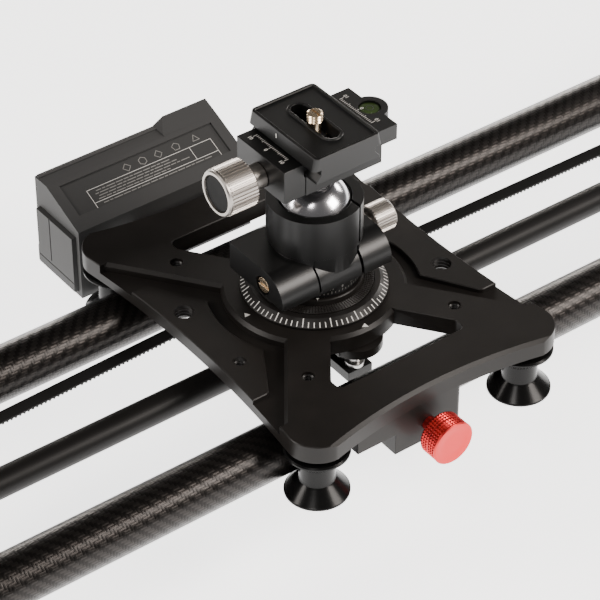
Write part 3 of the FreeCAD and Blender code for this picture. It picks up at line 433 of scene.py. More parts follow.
# ------------------------------------------------------------------------- finishes
class Shades:
    """Adds and links the nodes of one material."""

    def __init__(self, name: str) -> None:
        """Start an empty material with a Principled surface.

        Args:
            name: the material's name.
        """
        self.material = bpy.data.materials.new(name)
        self.material.use_nodes = True
        self.tree = self.material.node_tree
        self.tree.nodes.clear()
        self.surface = self.tree.nodes.new("ShaderNodeBsdfPrincipled")
        output = self.tree.nodes.new("ShaderNodeOutputMaterial")
        self.tree.links.new(self.surface.outputs[0], output.inputs[0])
        self.place = self.tree.nodes.new("ShaderNodeTexCoord").outputs["Object"]

    def put(self, socket: bpy.types.NodeSocket, value: object) -> None:
        """Link a socket to another, or set its value.

        Args:
            socket: the input that receives it.
            value: another node's output, or a constant.
        """
        if isinstance(value, bpy.types.NodeSocket):
            self.tree.links.new(value, socket)
        else:
            socket.default_value = value

    def math(self, operation: str, *values: object) -> bpy.types.NodeSocket:
        """A Math node's result.

        Args:
            operation: the node's operation.
            values: its inputs, each an output or a constant.

        Returns:
            The node's output.
        """
        node = self.tree.nodes.new("ShaderNodeMath")
        node.operation = operation
        for socket, value in zip(node.inputs, values):
            self.put(socket, value)
        return node.outputs[0]

    def noise(self, scale: float, detail: float = 2.0,
              stretch: Triple = (1, 1, 1)) -> bpy.types.NodeSocket:
        """Noise on the piece's own place.

        Args:
            scale: patches per metre.
            detail: octaves of finer noise.
            stretch: scale of each axis; small where the noise is drawn out.

        Returns:
            The noise, from 0 to 1.
        """
        spread = self.tree.nodes.new("ShaderNodeMapping")
        spread.inputs["Scale"].default_value = stretch
        self.put(spread.inputs["Vector"], self.place)
        node = self.tree.nodes.new("ShaderNodeTexNoise")
        node.inputs["Scale"].default_value = scale
        node.inputs["Detail"].default_value = detail
        self.put(node.inputs["Vector"], spread.outputs[0])
        return node.outputs[0]

    def span(self, value: bpy.types.NodeSocket, low: float, high: float) -> bpy.types.NodeSocket:
        """Spread the middle of a noise between two values.

        Args:
            value: the noise.
            low: the result where the noise is low.
            high: the result where it is high.

        Returns:
            The spread value.
        """
        node = self.tree.nodes.new("ShaderNodeMapRange")
        node.inputs["From Min"].default_value = NOISE_LOW
        node.inputs["From Max"].default_value = NOISE_HIGH
        node.inputs["To Min"].default_value = low
        node.inputs["To Max"].default_value = high
        self.put(node.inputs["Value"], value)
        return node.outputs[0]

    def blend(self, share: object, first: Triple, second: Triple) -> bpy.types.NodeSocket:
        """Mix two colours.

        Args:
            share: how much of the second colour, an output or a constant.
            first: the colour at a share of 0.
            second: the colour at a share of 1.

        Returns:
            The mixed colour.
        """
        node = self.tree.nodes.new("ShaderNodeMix")
        node.data_type = "RGBA"
        self.put(node.inputs["Factor"], share)
        node.inputs["A"].default_value = (*first, 1)
        node.inputs["B"].default_value = (*second, 1)
        return node.outputs["Result"]

    def bump(self, height: bpy.types.NodeSocket, depth: float, strength: float) -> None:
        """Raise the surface by a height pattern.

        Args:
            height: the pattern, from 0 to 1.
            depth: how far it rises in millimetres.
            strength: how much of it shows.
        """
        node = self.tree.nodes.new("ShaderNodeBump")
        node.inputs["Strength"].default_value = strength
        node.inputs["Distance"].default_value = depth * MM
        self.put(node.inputs["Height"], height)
        self.put(self.surface.inputs["Normal"], node.outputs[0])


class Coating:
    """A finish whose material is made once and shared by the pieces that it covers."""

    name: str

    def material(self) -> bpy.types.Material:
        """The finish's material, made when it is first asked for.

        Returns:
            The one material of this name.
        """
        made = bpy.data.materials.get(self.name)
        if made:
            return made
        shades = Shades(self.name)
        self.paint(shades, shades.surface.inputs)
        return shades.material

    def paint(self, shades: Shades, surface: bpy.types.NodeInputs) -> None:
        """Set the surface up; each kind of finish does it in its own way."""
        raise NotImplementedError


@dataclass(frozen=True)
class Finish(Coating):
    """A surface with colour drift, uneven gloss and a fine grain.

    name: material name; colour: base colour; rough: middle roughness; metal: metallic;
    drift: share by which colour and gloss vary; grain: grains per millimetre; depth: grain
    depth in millimetres; strength: how much of the grain shows; specular: specular level;
    draw: axis stretch of the grain; patches: patches of colour per metre.
    """

    name: str
    colour: Triple
    rough: float
    metal: float = 0.0
    drift: float = 0.15
    grain: float = 5.0
    depth: float = 0.01
    strength: float = 0.25
    specular: float = 0.5
    draw: Triple = (1, 1, 1)
    patches: float = 60
    gloss_share: float = 0.6

    def paint(self, shades: Shades, surface: bpy.types.NodeInputs) -> None:
        """Drift the colour in broad patches, and the gloss with the grain.

        Args:
            shades: the material's nodes.
            surface: the inputs of its surface.
        """
        broad = shades.noise(self.patches, 3)
        light = tuple(min(1, part * (1 + self.drift)) for part in self.colour)
        dark = tuple(part * (1 - self.drift) for part in self.colour)
        shades.put(surface["Base Color"], shades.blend(shades.span(broad, 0, 1), dark, light))
        fine = shades.noise(self.grain / MM, 2, self.draw)
        spread = self.rough * self.drift * self.gloss_share
        shades.put(surface["Roughness"], shades.span(fine, self.rough - spread, self.rough + spread))
        shades.bump(fine, self.depth, self.strength)
        surface["Metallic"].default_value = self.metal
        surface["Specular IOR Level"].default_value = self.specular


@dataclass(frozen=True)
class TwillCarbon(Coating):
    """Twill weave wrapped round the two tubes along X, under a clear gloss."""

    name: str = "twill_carbon"
    tube_y: float = 50.8
    tube_z: float = 60.0
    tows_round: int = 52
    tow: float = 1.33
    repeat: float = 4.0
    floated: float = 1.5
    warp_colour: Triple = (0.023, 0.0203, 0.0188)
    weft_colour: Triple = (0.0125, 0.0110, 0.0102)
    patches: float = 900
    rough: tuple[float, float] = (0.30, 0.40)
    metal: float = 0.9
    depth: float = 0.10
    strength: float = 0.5
    coat: float = 0.12
    coat_rough: float = 0.2

    def paint(self, shades: Shades, surface: bpy.types.NodeInputs) -> None:
        """Lay warp and weft in a twill, each tow rounded across its width.

        Args:
            shades: the material's nodes.
            surface: the inputs of its surface.
        """
        around, length = self.tow_counts(shades)
        steps = shades.math("ADD", shades.math("FLOOR", around), shades.math("FLOOR", length))
        over = shades.math("LESS_THAN", shades.math("FLOORED_MODULO", steps, self.repeat), self.floated)
        under = shades.math("SUBTRACT", 1.0, over)
        height = shades.math("ADD", shades.math("MULTIPLY", over, self.crown(shades, around)),
                             shades.math("MULTIPLY", under, self.crown(shades, length)))
        shades.put(surface["Base Color"], shades.blend(over, self.weft_colour, self.warp_colour))
        shades.put(surface["Roughness"], shades.span(shades.noise(self.patches), *self.rough))
        shades.bump(height, self.depth, self.strength)
        surface["Metallic"].default_value = self.metal
        surface["Coat Weight"].default_value = self.coat
        surface["Coat Roughness"].default_value = self.coat_rough

    def tow_counts(self, shades: Shades) -> tuple[bpy.types.NodeSocket, bpy.types.NodeSocket]:
        """Count tows round the nearer tube and along it.

        Args:
            shades: the material's nodes.

        Returns:
            The count round the tube, and the count along it.
        """
        split = shades.tree.nodes.new("ShaderNodeSeparateXYZ")
        shades.put(split.inputs[0], shades.place)
        across = shades.math("SUBTRACT", shades.math("ABSOLUTE", split.outputs[1]), self.tube_y * MM)
        rise = shades.math("SUBTRACT", split.outputs[2], self.tube_z * MM)
        angle = shades.math("ARCTAN2", rise, across)
        around = shades.math("MULTIPLY", angle, self.tows_round / math.tau)
        return around, shades.math("DIVIDE", split.outputs[0], self.tow * MM)

    @staticmethod
    def crown(shades: Shades, count: bpy.types.NodeSocket) -> bpy.types.NodeSocket:
        """The rounded height across each tow.

        Args:
            shades: the material's nodes.
            count: the count of tows.

        Returns:
            1 along the middle of a tow, and 0 at its edges.
        """
        edge = shades.math("SUBTRACT", shades.math("FRACT", count), 0.5)
        square = shades.math("MULTIPLY", edge, edge)
        return shades.math("SUBTRACT", 1.0, shades.math("MULTIPLY", 4.0, square))


@dataclass(frozen=True)
class SpiritVial(Coating):
    """Clear green fluid behind an acrylic face."""

    name: str = "spirit_vial"
    colour: Triple = (0.055, 0.095, 0.022)
    deep_share: float = 0.6
    patches: float = 250
    gloss_patches: float = 900
    rough: tuple[float, float] = (0.05, 0.12)
    clear: float = 0.35

    def paint(self, shades: Shades, surface: bpy.types.NodeInputs) -> None:
        """Tint the fluid unevenly under a clear coat.

        Args:
            shades: the material's nodes.
            surface: the inputs of its surface.
        """
        deep = tuple(part * self.deep_share for part in self.colour)
        tint = shades.blend(shades.span(shades.noise(self.patches), 0, 1), deep, self.colour)
        shades.put(surface["Base Color"], tint)
        shades.put(surface["Roughness"], shades.span(shades.noise(self.gloss_patches), *self.rough))
        surface["Transmission Weight"].default_value = self.clear
        surface["Coat Weight"].default_value = 1.0


@dataclass(frozen=True)
class PaleFloor(Coating):
    """A matt pale sweep that glows a little, so that it stays evenly light."""

    name: str = "pale_floor"
    dull: Triple = (0.90, 0.90, 0.895)
    bright: Triple = (0.93, 0.93, 0.925)
    patches: float = 3
    rough: float = 0.9
    specular: float = 0.1
    glow: float = 2.5

    def paint(self, shades: Shades, surface: bpy.types.NodeInputs) -> None:
        """Drift the tone in wide patches.

        Args:
            shades: the material's nodes.
            surface: the inputs of its surface.
        """
        share = shades.span(shades.noise(self.patches), 0, 1)
        shades.put(surface["Base Color"], shades.blend(share, self.dull, self.bright))
        surface["Roughness"].default_value = self.rough
        surface["Specular IOR Level"].default_value = self.specular
        surface["Emission Color"].default_value = (1, 1, 1, 1)
        surface["Emission Strength"].default_value = self.glow


CARBON = TwillCarbon()
VIAL = SpiritVial()
SATIN_ROD = Finish("satin_rod", (0.0065, 0.0060, 0.0057), 0.44, drift=0.1, grain=3,
                   specular=0.16, draw=(0.02, 1, 1))
BLASTED = Finish("blasted_black", (0.0100, 0.0088, 0.0080), 0.38, grain=9, depth=0.012,
                 specular=0.15)
MILLED = Finish("milled_black", (0.011, 0.0100, 0.0095), 0.34, grain=9, depth=0.006,
                specular=0.26)
HEAD_BLACK = Finish("head_black", (0.0052, 0.0050, 0.0048), 0.31, grain=9, depth=0.012,
                    specular=0.12)
POLISHED_BLACK = Finish("polished_black", (0.0040, 0.0040, 0.0040), 0.22, grain=6, depth=0.003,
                        specular=0.14)
MOULDED = Finish("moulded_black", (0.0068, 0.0061, 0.0056), 0.55, grain=4, depth=0.03,
                 strength=0.35, specular=0.09)
LABEL = Finish("label_black", (0.0058, 0.0053, 0.0049), 0.45, grain=6, depth=0.008, specular=0.10)
RUBBER = Finish("black_rubber", (0.007, 0.007, 0.007), 0.62, grain=4, depth=0.02, specular=0.2)
ACETAL = Finish("black_acetal", (0.010, 0.010, 0.010), 0.4, grain=4, depth=0.006, specular=0.25)
STEEL = Finish("plain_steel", (0.50, 0.49, 0.48), 0.30, metal=1.0, grain=4, depth=0.003)
ALLOY = Finish("machined_alloy", (0.60, 0.59, 0.58), 0.34, metal=1.0, grain=4, depth=0.004)
FLUTED = Finish("satin_silver", (0.36, 0.335, 0.31), 0.38, metal=1.0, drift=0.08, grain=6,
                depth=0.004)
RED = Finish("red_anodised", (0.24, 0.014, 0.020), 0.42, metal=0.2, drift=0.08, grain=8,
             depth=0.006, specular=0.15)
CHROME = Finish("polished_chrome", (0.72, 0.71, 0.74), 0.17, metal=1.0, drift=0.02, grain=2,
                depth=0.001, strength=0.05)
GOLD = Finish("gold_zinc", (0.70, 0.55, 0.38), 0.27, metal=1.0, drift=0.2, grain=3, depth=0.01)
PRINT = Finish("white_print", (0.68, 0.67, 0.64), 0.5, drift=0.12, grain=6, depth=0.004)
FAINT_PRINT = Finish("faint_print", (0.21, 0.205, 0.195), 0.5, drift=0.15, grain=6, depth=0.004)
CAP = Finish("knob_cap", (0.006, 0.006, 0.006), 0.5, grain=6, depth=0.006, specular=0.05)
BOARD = Finish("solder_mask", (0.03, 0.14, 0.06), 0.35, grain=3, depth=0.01)


def dress(node: str, finish: Coating) -> None:
    """Give a CAD node its finish.

    Args:
        node: the CAD node, which keeps its own mesh.
        finish: the finish that covers it.
    """
    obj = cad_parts[node]
    obj.data.materials.clear()
    obj.data.materials.append(finish.material())


def deliver(
    obj: bpy.types.Object,
    body: Optional[str],
    finish: Coating,
    stands_for: Sequence[str] = (),
    fold: float = 30,
) -> None:
    """Finish a piece: shading, material, body and the nodes that it stands for.

    Args:
        obj: the mesh object, in place.
        body: the CAD body that it rides on, or None for a piece that is left unattached.
        finish: the finish that covers it.
        stands_for: the CAD nodes that it replaces.
        fold: the least angle in degrees that still shows as an edge.
    """
    take(obj)
    bpy.ops.object.shade_smooth_by_angle(angle=math.radians(fold))
    flatten = obj.modifiers.new("even_faces", "WEIGHTED_NORMAL")
    flatten.keep_sharp = True
    bpy.ops.object.modifier_apply(modifier=flatten.name)
    if not obj.data.materials:
        obj.data.materials.append(finish.material())
    if body:
        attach(obj, body)
    if stands_for:
        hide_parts(*stands_for)
    LOG.info("%s: %d faces", obj.name, len(obj.data.polygons))


def softened(node: str, body: str, finish: Coating, width: float,
             segments: int = 2) -> None:
    """A CAD node's shape with its edges broken, in place of the node.

    Args:
        node: the CAD node.
        body: the body that it rides on.
        finish: the finish that covers it.
        width: the width of the broken edges in millimetres.
        segments: facets across them.
    """
    obj = from_node(node, f"{node}_finished")
    rounded(obj, width, segments)
    deliver(obj, body, finish, [node])


# ------------------------------------------------------------------------ the frame
@dataclass
class RailSet:
    """Two carbon tubes, the guide rod, the end blocks and what is screwed to them."""

    edge: float = 0.8

    def build(self) -> None:
        """Dress the tubes and rod, and finish the blocks."""
        for side in ("front", "back"):
            dress(f"{side}_rail_tube", CARBON)
        dress("middle_rod", SATIN_ROD)
        for side in ("left", "right"):
            softened(f"{side}_end_block", "root", BLASTED, width=self.edge)
        softened("rail_screws", "root", STEEL, width=0.5)
        softened("belt_clamps", "root", MILLED, width=0.4)
        softened("belt_clamp_screws", "root", STEEL, width=0.3)
        softened("end_bumpers", "root", RUBBER, width=0.8)
        softened("leg_pivot_bolts", "root", STEEL, width=0.4)


@dataclass
class Legs:
    """Four swinging legs with screwed rubber feet."""

    edge: float = 0.9
    foot_edge: float = 0.5
    rubber_top: float = 4.6

    def build(self) -> None:
        """Finish each leg and its foot."""
        for end in ("front", "back"):
            for side in ("left", "right"):
                name = f"{end}_{side}"
                softened(f"{name}_leg", f"{name}_leg", BLASTED, width=self.edge)
                self.foot(name)

    def foot(self, name: str) -> None:
        """A rubber pad under a black metal cup and stud.

        Args:
            name: the leg's end and side.
        """
        obj = from_node(f"{name}_foot", f"{name}_foot_finished")
        rounded(obj, width=self.foot_edge)
        obj.data.materials.append(MILLED.material())
        obj.data.materials.append(RUBBER.material())
        for face in obj.data.polygons:
            face.material_index = int(face.center.z < self.rubber_top * MM)
        deliver(obj, f"{name}_foot", RUBBER, [f"{name}_foot"])


# ------------------------------------------------------------------------- the belt
@dataclass
class ToothedBelt:
    """The belt's two open runs, its loop in the carriage and the wheels that it passes."""

    pitch: float = 2.0
    back: float = 0.75
    tooth: float = 0.65
    tooth_foot: tuple[float, float] = (0.2, 0.75)
    tooth_sunk: float = 0.02
    tooth_narrowing: float = 0.6
    width: float = 6.0
    end_reach: float = 0.5
    shares: tuple[float, ...] = (0.0, 0.03, 0.08, 0.2, 0.5, 0.8, 0.92, 0.97, 1.0)
    bore: float = 1.53
    flange: float = 7.2
    flange_thick: float = 0.8
    groove_floor: float = 5.0
    pulley_half: float = 4.2
    pulley_sides: int = 40
    pulley_gap: float = 0.5

    def build(self) -> None:
        """Model the runs in short stretches between the clamp and the carriage."""
        for side, sign in (("left", -1), ("right", 1)):
            low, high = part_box(f"{side}_belt_run")
            anchor_z, carriage_z = self.heights(side)
            outer, inner = (low.x, high.x) if sign < 0 else (high.x, low.x)
            middle_y = node_middle(f"{side}_belt_run").y
            start = Vector((outer / MM, middle_y, anchor_z))
            stop = Vector((inner / MM, middle_y, carriage_z))
            for index, pair in enumerate(zip(self.shares, self.shares[1:]), start=1):
                self.stretch(f"{side}_belt_{index}", f"{side}_belt_run", start, stop, pair)
        dress("belt_loop", RUBBER)
        self.pulley()
        for side in ("left", "right"):
            softened(f"{side}_guide_wheel", f"{side}_guide_wheel", ACETAL, width=0.25)

    def heights(self, side: str) -> tuple[float, float]:
        """Heights of a run's middle at its two ends, from its own mesh.

        Args:
            side: left or right.

        Returns:
            The height at the clamp and the height at the carriage, in millimetres.
        """
        points = [vertex.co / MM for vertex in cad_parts[f"{side}_belt_run"].data.vertices]
        ends = []
        for reach in (max(abs(point.x) for point in points), min(abs(point.x) for point in points)):
            levels = [point.z for point in points if abs(abs(point.x) - reach) < self.end_reach]
            ends.append((min(levels) + max(levels)) / 2)
        return ends[0], ends[1]

    def stretch(self, name: str, node: str, start: Vector, stop: Vector,
                pair: tuple[float, float]) -> None:
        """One stretch of a run, between two shares of its length.

        Args:
            name: the piece's name.
            node: the CAD node that the run replaces.
            start: the run's end in the clamp, in millimetres.
            stop: the run's end at the carriage, in millimetres.
            pair: the shares of the run's length where this stretch starts and ends.
        """
        first, last = start.lerp(stop, pair[0]), start.lerp(stop, pair[1])
        length, half = (last - first).length, self.width / 2
        strap = block(name, (0, -half, 0), (length, half, self.back))
        belt = joined(name, [strap, self.teeth(length)])
        run = (last - first).normalized()
        across = Vector((0, 1, 0)) if run.x > 0 else Vector((0, -1, 0))
        moved(belt, tuple(first), Matrix((run, across, run.cross(across))).transposed().to_4x4())
        deliver(belt, None, RUBBER, [node])
        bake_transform(belt)

    def teeth(self, length: float) -> bpy.types.Object:
        """A row of narrowing teeth along X, under the strap.

        Args:
            length: the length that the row fills, in millimetres.

        Returns:
            The mesh object, with its first tooth at the origin.
        """
        near, far = (self.pitch * share for share in self.tooth_foot)
        half = self.width / 2
        tooth = block("tooth", (near, -half, -self.tooth), (far, half, self.tooth_sunk))
        with editing(tooth):
            choose_faces(tooth, lambda centre, normal: normal.z < -0.9)
            bpy.ops.transform.resize(value=(self.tooth_narrowing, 1, 1),
                                     center_override=((near + far) / 2 * MM, 0, 0))
        row = tooth.modifiers.new("row", "ARRAY")
        row.use_relative_offset = False
        row.use_constant_offset = True
        row.constant_offset_displace = (self.pitch * MM, 0, 0)
        row.count = max(1, int(length / self.pitch))
        take(tooth)
        bpy.ops.object.modifier_apply(modifier=row.name)
        return tooth

    @staticmethod
    def ease(share: float) -> float:
        """Where a smooth step from 0 to 1 reaches a share of its rise."""
        return 0.5 - math.sin(math.asin(1 - 2 * share) / 3)

    def pulley(self) -> None:
        """A flanged pulley with a groove between each two teeth."""
        outer, inner = self.pulley_half, self.pulley_half - self.flange_thick
        profile = [(self.bore, -outer), (self.flange, -outer), (self.flange, -inner),
                   (self.groove_floor, -inner), (self.groove_floor, inner), (self.flange, inner),
                   (self.flange, outer), (self.bore, outer)]
        pulley = turned("drive_pulley_finished", profile, self.pulley_sides)
        step = 360 / self.pulley_sides
        with editing(pulley):
            choose_faces(pulley, lambda spot, normal: abs(spot.z) < 1 and abs(normal.z) < 0.1
                         and int(math.degrees(math.atan2(spot.y, spot.x)) % 360 / step) % 2 == 0)
            bpy.ops.mesh.extrude_faces_move(
                TRANSFORM_OT_shrink_fatten={"value": -self.pulley_gap * MM}
            )
        moved(pulley, tuple(node_middle("drive_pulley")), Facing.BACK.turn())
        deliver(pulley, "drive_pulley", ALLOY, ["drive_pulley"])


# --------------------------------------------------------------------- the carriage
@dataclass
class Carriage:
    """The milled plate with its threads, rollers, brake and drive parts."""

    top: float = 82.0
    pad: float = 80.0
    low: float = 74.0
    level_slack: float = 0.05
    wide_bevel: float = 1.1
    hole_rim: float = 6.0
    inner_part: float = 30.0
    small_radius: float = 2.7
    large_radius: float = 4.1
    small_pitch: float = 1.27
    large_pitch: float = 1.59
    thread_depth: float = 0.45
    thread_wall: float = 0.25
    thread_sunk: float = 0.05
    arm_hole: tuple[float, float] = (36.5, 44.5)
    small_pad_hole: tuple[float, float] = (51.0, 19.5)
    large_pad_hole: tuple[float, float] = (51.0, -18.5)
    thread_rise: float = 0.3
    sharp: float = 60.0
    pointer: float = 1.5
    pointer_high: float = 0.06
    arm_pointer_x: float = -33.6
    front_pointer_y: float = -33.4
    rim: float = 13.0
    spool_half: float = 11.0
    neck: float = 7.25
    axle_hole: float = 5.05
    knob: float = 9.1
    knurl_rows: int = 3
    knurl_pitch: float = 1.3
    knurl_starts: tuple[float, float] = (0.3, 4.6)
    knurl_proud: float = 0.5
    knob_seat: Triple = (0, -80.5, 60)

    def build(self) -> None:
        """Finish the plate and everything screwed to it."""
        self.plate()
        self.pointers()
        self.threads()
        self.rollers()
        softened("roller_axles", "carriage", STEEL, width=0.3)
        dress("roller_bearings", STEEL)
        softened("brake_block", "carriage", BLASTED, width=0.6)
        dress("brake_pad", RUBBER)
        self.brake_knob()
        softened("follower_bush", "carriage", ACETAL, width=0.5)
        softened("follower_pin", "carriage", STEEL, width=0.3)
        softened("drive_motor", "carriage", STEEL, width=0.5)
        softened("motor_bracket", "carriage", MILLED, width=0.3)

    def plate(self) -> None:
        """Bevel the lobes' and pads' top edges wider than the rest."""
        obj = from_node("carriage_plate", "carriage_plate_finished")
        with editing(obj, Pick.EDGE):
            choose_edges(obj, self.wants_wide_bevel)
            bpy.ops.mesh.bevel(
                offset=self.wide_bevel * MM, segments=1, affect="EDGES", clamp_overlap=True
            )
        rounded(obj, width=0.2, segments=2, fold=30)
        deliver(obj, "carriage", BLASTED, ["carriage_plate"], fold=25)

    def pointers(self) -> None:
        """Two printed triangles, one on the left arms' side and one in front."""
        arrow = turned("pointer", [(self.pointer, 0), (self.pointer, self.pointer_high)], sides=3)
        places = [shift(self.arm_pointer_x, 0, self.top),
                  shift(0, self.front_pointer_y, self.top) @ rotation(90)]
        deliver(joined("plate_pointers", copies(arrow, places)), "carriage", PRINT)

    def wants_wide_bevel(self, first: Vector, last: Vector, fold: float) -> bool:
        """True for the top edges of the lobes, side bows and pads, but no hole's edge.

        Args:
            first: one end of the edge, in millimetres.
            last: its other end.
            fold: the angle between its faces, in degrees.

        Returns:
            Whether the edge gets the wide bevel.
        """
        if fold < self.sharp or abs(first.z - last.z) > self.level_slack:
            return False
        if min(abs(first.z - self.top), abs(first.z - self.pad)) > self.level_slack:
            return False
        if max(abs(first.x), abs(first.y)) < self.inner_part:
            return False
        return all(math.hypot(first.x - x, first.y - y) > self.hole_rim
                   for x, y in [*self.arm_holes(), *self.pair(self.small_pad_hole),
                                *self.pair(self.large_pad_hole)])

    def arm_holes(self) -> list[tuple[float, float]]:
        """Places of the four 1/4 inch holes in the arms."""
        x, y = self.arm_hole
        return [(-x, -y), (-x, y), (x, -y), (x, y)]

    @staticmethod
    def pair(hole: tuple[float, float]) -> list[tuple[float, float]]:
        """A pad's hole and the same hole on the other pad, half a turn away."""
        return [(-hole[0], -hole[1]), hole]

    def threads(self) -> None:
        """Rings of thread inside the accessory holes, one model for each kind of hole."""
        small, large = (self.small_radius, self.small_pitch), (self.large_radius, self.large_pitch)
        rings = []
        for (radius, pitch), top, holes in (
            (small, self.top, self.arm_holes()),
            (large, self.pad, self.pair(self.large_pad_hole)),
            (small, self.pad, self.pair(self.small_pad_hole)),
        ):
            thread = self.thread(radius, pitch, int((top - self.low - 1) / pitch))
            rings += copies(thread, [shift(x, y, self.low + self.thread_rise) for x, y in holes])
        deliver(joined("hole_threads", rings), "carriage", MILLED)

    def thread(self, radius: float, pitch: float, turns: int) -> bpy.types.Object:
        """A thin ridged sleeve.

        Args:
            radius: the hole's radius in millimetres.
            pitch: the height of one ridge.
            turns: how many ridges there are.

        Returns:
            The mesh object, standing on the origin.
        """
        outer, inner = radius + self.thread_sunk, radius - self.thread_depth
        profile = [(outer, 0.0)]
        for turn in range(turns):
            base = turn * pitch
            profile += [(inner, base + pitch / 2), (outer, base + pitch)]
        shell = turned("thread", profile, sides=28)
        with editing(shell):
            choose_faces(shell, lambda centre, normal: abs(normal.z) > 0.99)
            bpy.ops.mesh.delete(type="FACE")
            bpy.ops.mesh.select_all(action="SELECT")
            bpy.ops.mesh.flip_normals()
        wall = shell.modifiers.new("wall", "SOLIDIFY")
        wall.thickness = self.thread_wall * MM
        wall.offset = -1
        take(shell)
        bpy.ops.object.modifier_apply(modifier=wall.name)
        return shell

    def rollers(self) -> None:
        """Four polished spools whose waists follow the tubes."""
        names = [f"{end}_{side}_roller" for end in ("front", "back") for side in ("left", "right")]
        rim, half, neck, hole = self.rim, self.spool_half, self.neck, self.axle_hole
        lower = [(hole, -7.0), (hole, -half), (rim - 0.7, -half), (rim, -half + 0.5),
                 (rim, -half + 1.2), (rim - 0.5, -half + 1.5), (neck + 0.5, -4.6), (neck, -4.0)]
        upper = [(radius, -height) for radius, height in reversed(lower)]
        spool = turned("spool", lower + upper, sides=72)
        places = [shift(*node_middle(name)) for name in names]
        for name, twin in zip(names, copies(spool, places)):
            named(twin, f"{name}_finished")
            deliver(twin, name, POLISHED_BLACK, [name], fold=28)

    def brake_knob(self) -> None:
        """A red knob with two bands of diamond knurl and a dished face."""
        radius, pitch = self.knob, self.knurl_pitch
        band = self.knurl_rows * pitch
        profile = [(3.0, -14.9), (3.0, -2.0), (4.6, -2.0), (4.6, 0.0), (radius - 0.5, 0.0),
                   (radius, 0.3)]
        for start in self.knurl_starts:
            for row in range(self.knurl_rows + 1):
                profile.append((radius, start + row * pitch + 0.0001 * (row == 0)))
        profile += [(radius + 0.4, 8.55), (radius + 0.5, 8.75), (radius + 0.5, 9.1),
                    (radius, 9.5), (radius - 1.4, 9.5), (radius - 2.6, 9.3), (radius - 5, 9.15)]
        knob = turned("brake_knob_finished", profile, sides=46)
        with editing(knob):
            choose_faces(knob, lambda centre, normal: abs(normal.z) < 0.05
                         and abs(math.hypot(centre.x, centre.y) - radius) < 0.1
                         and any(start + 0.1 < centre.z < start + band
                                 for start in self.knurl_starts))
            bpy.ops.mesh.poke(offset=self.knurl_proud * MM)
        moved(knob, self.knob_seat, Facing.FRONT.turn())
        deliver(knob, "brake_knob", RED, ["brake_knob"], fold=20)


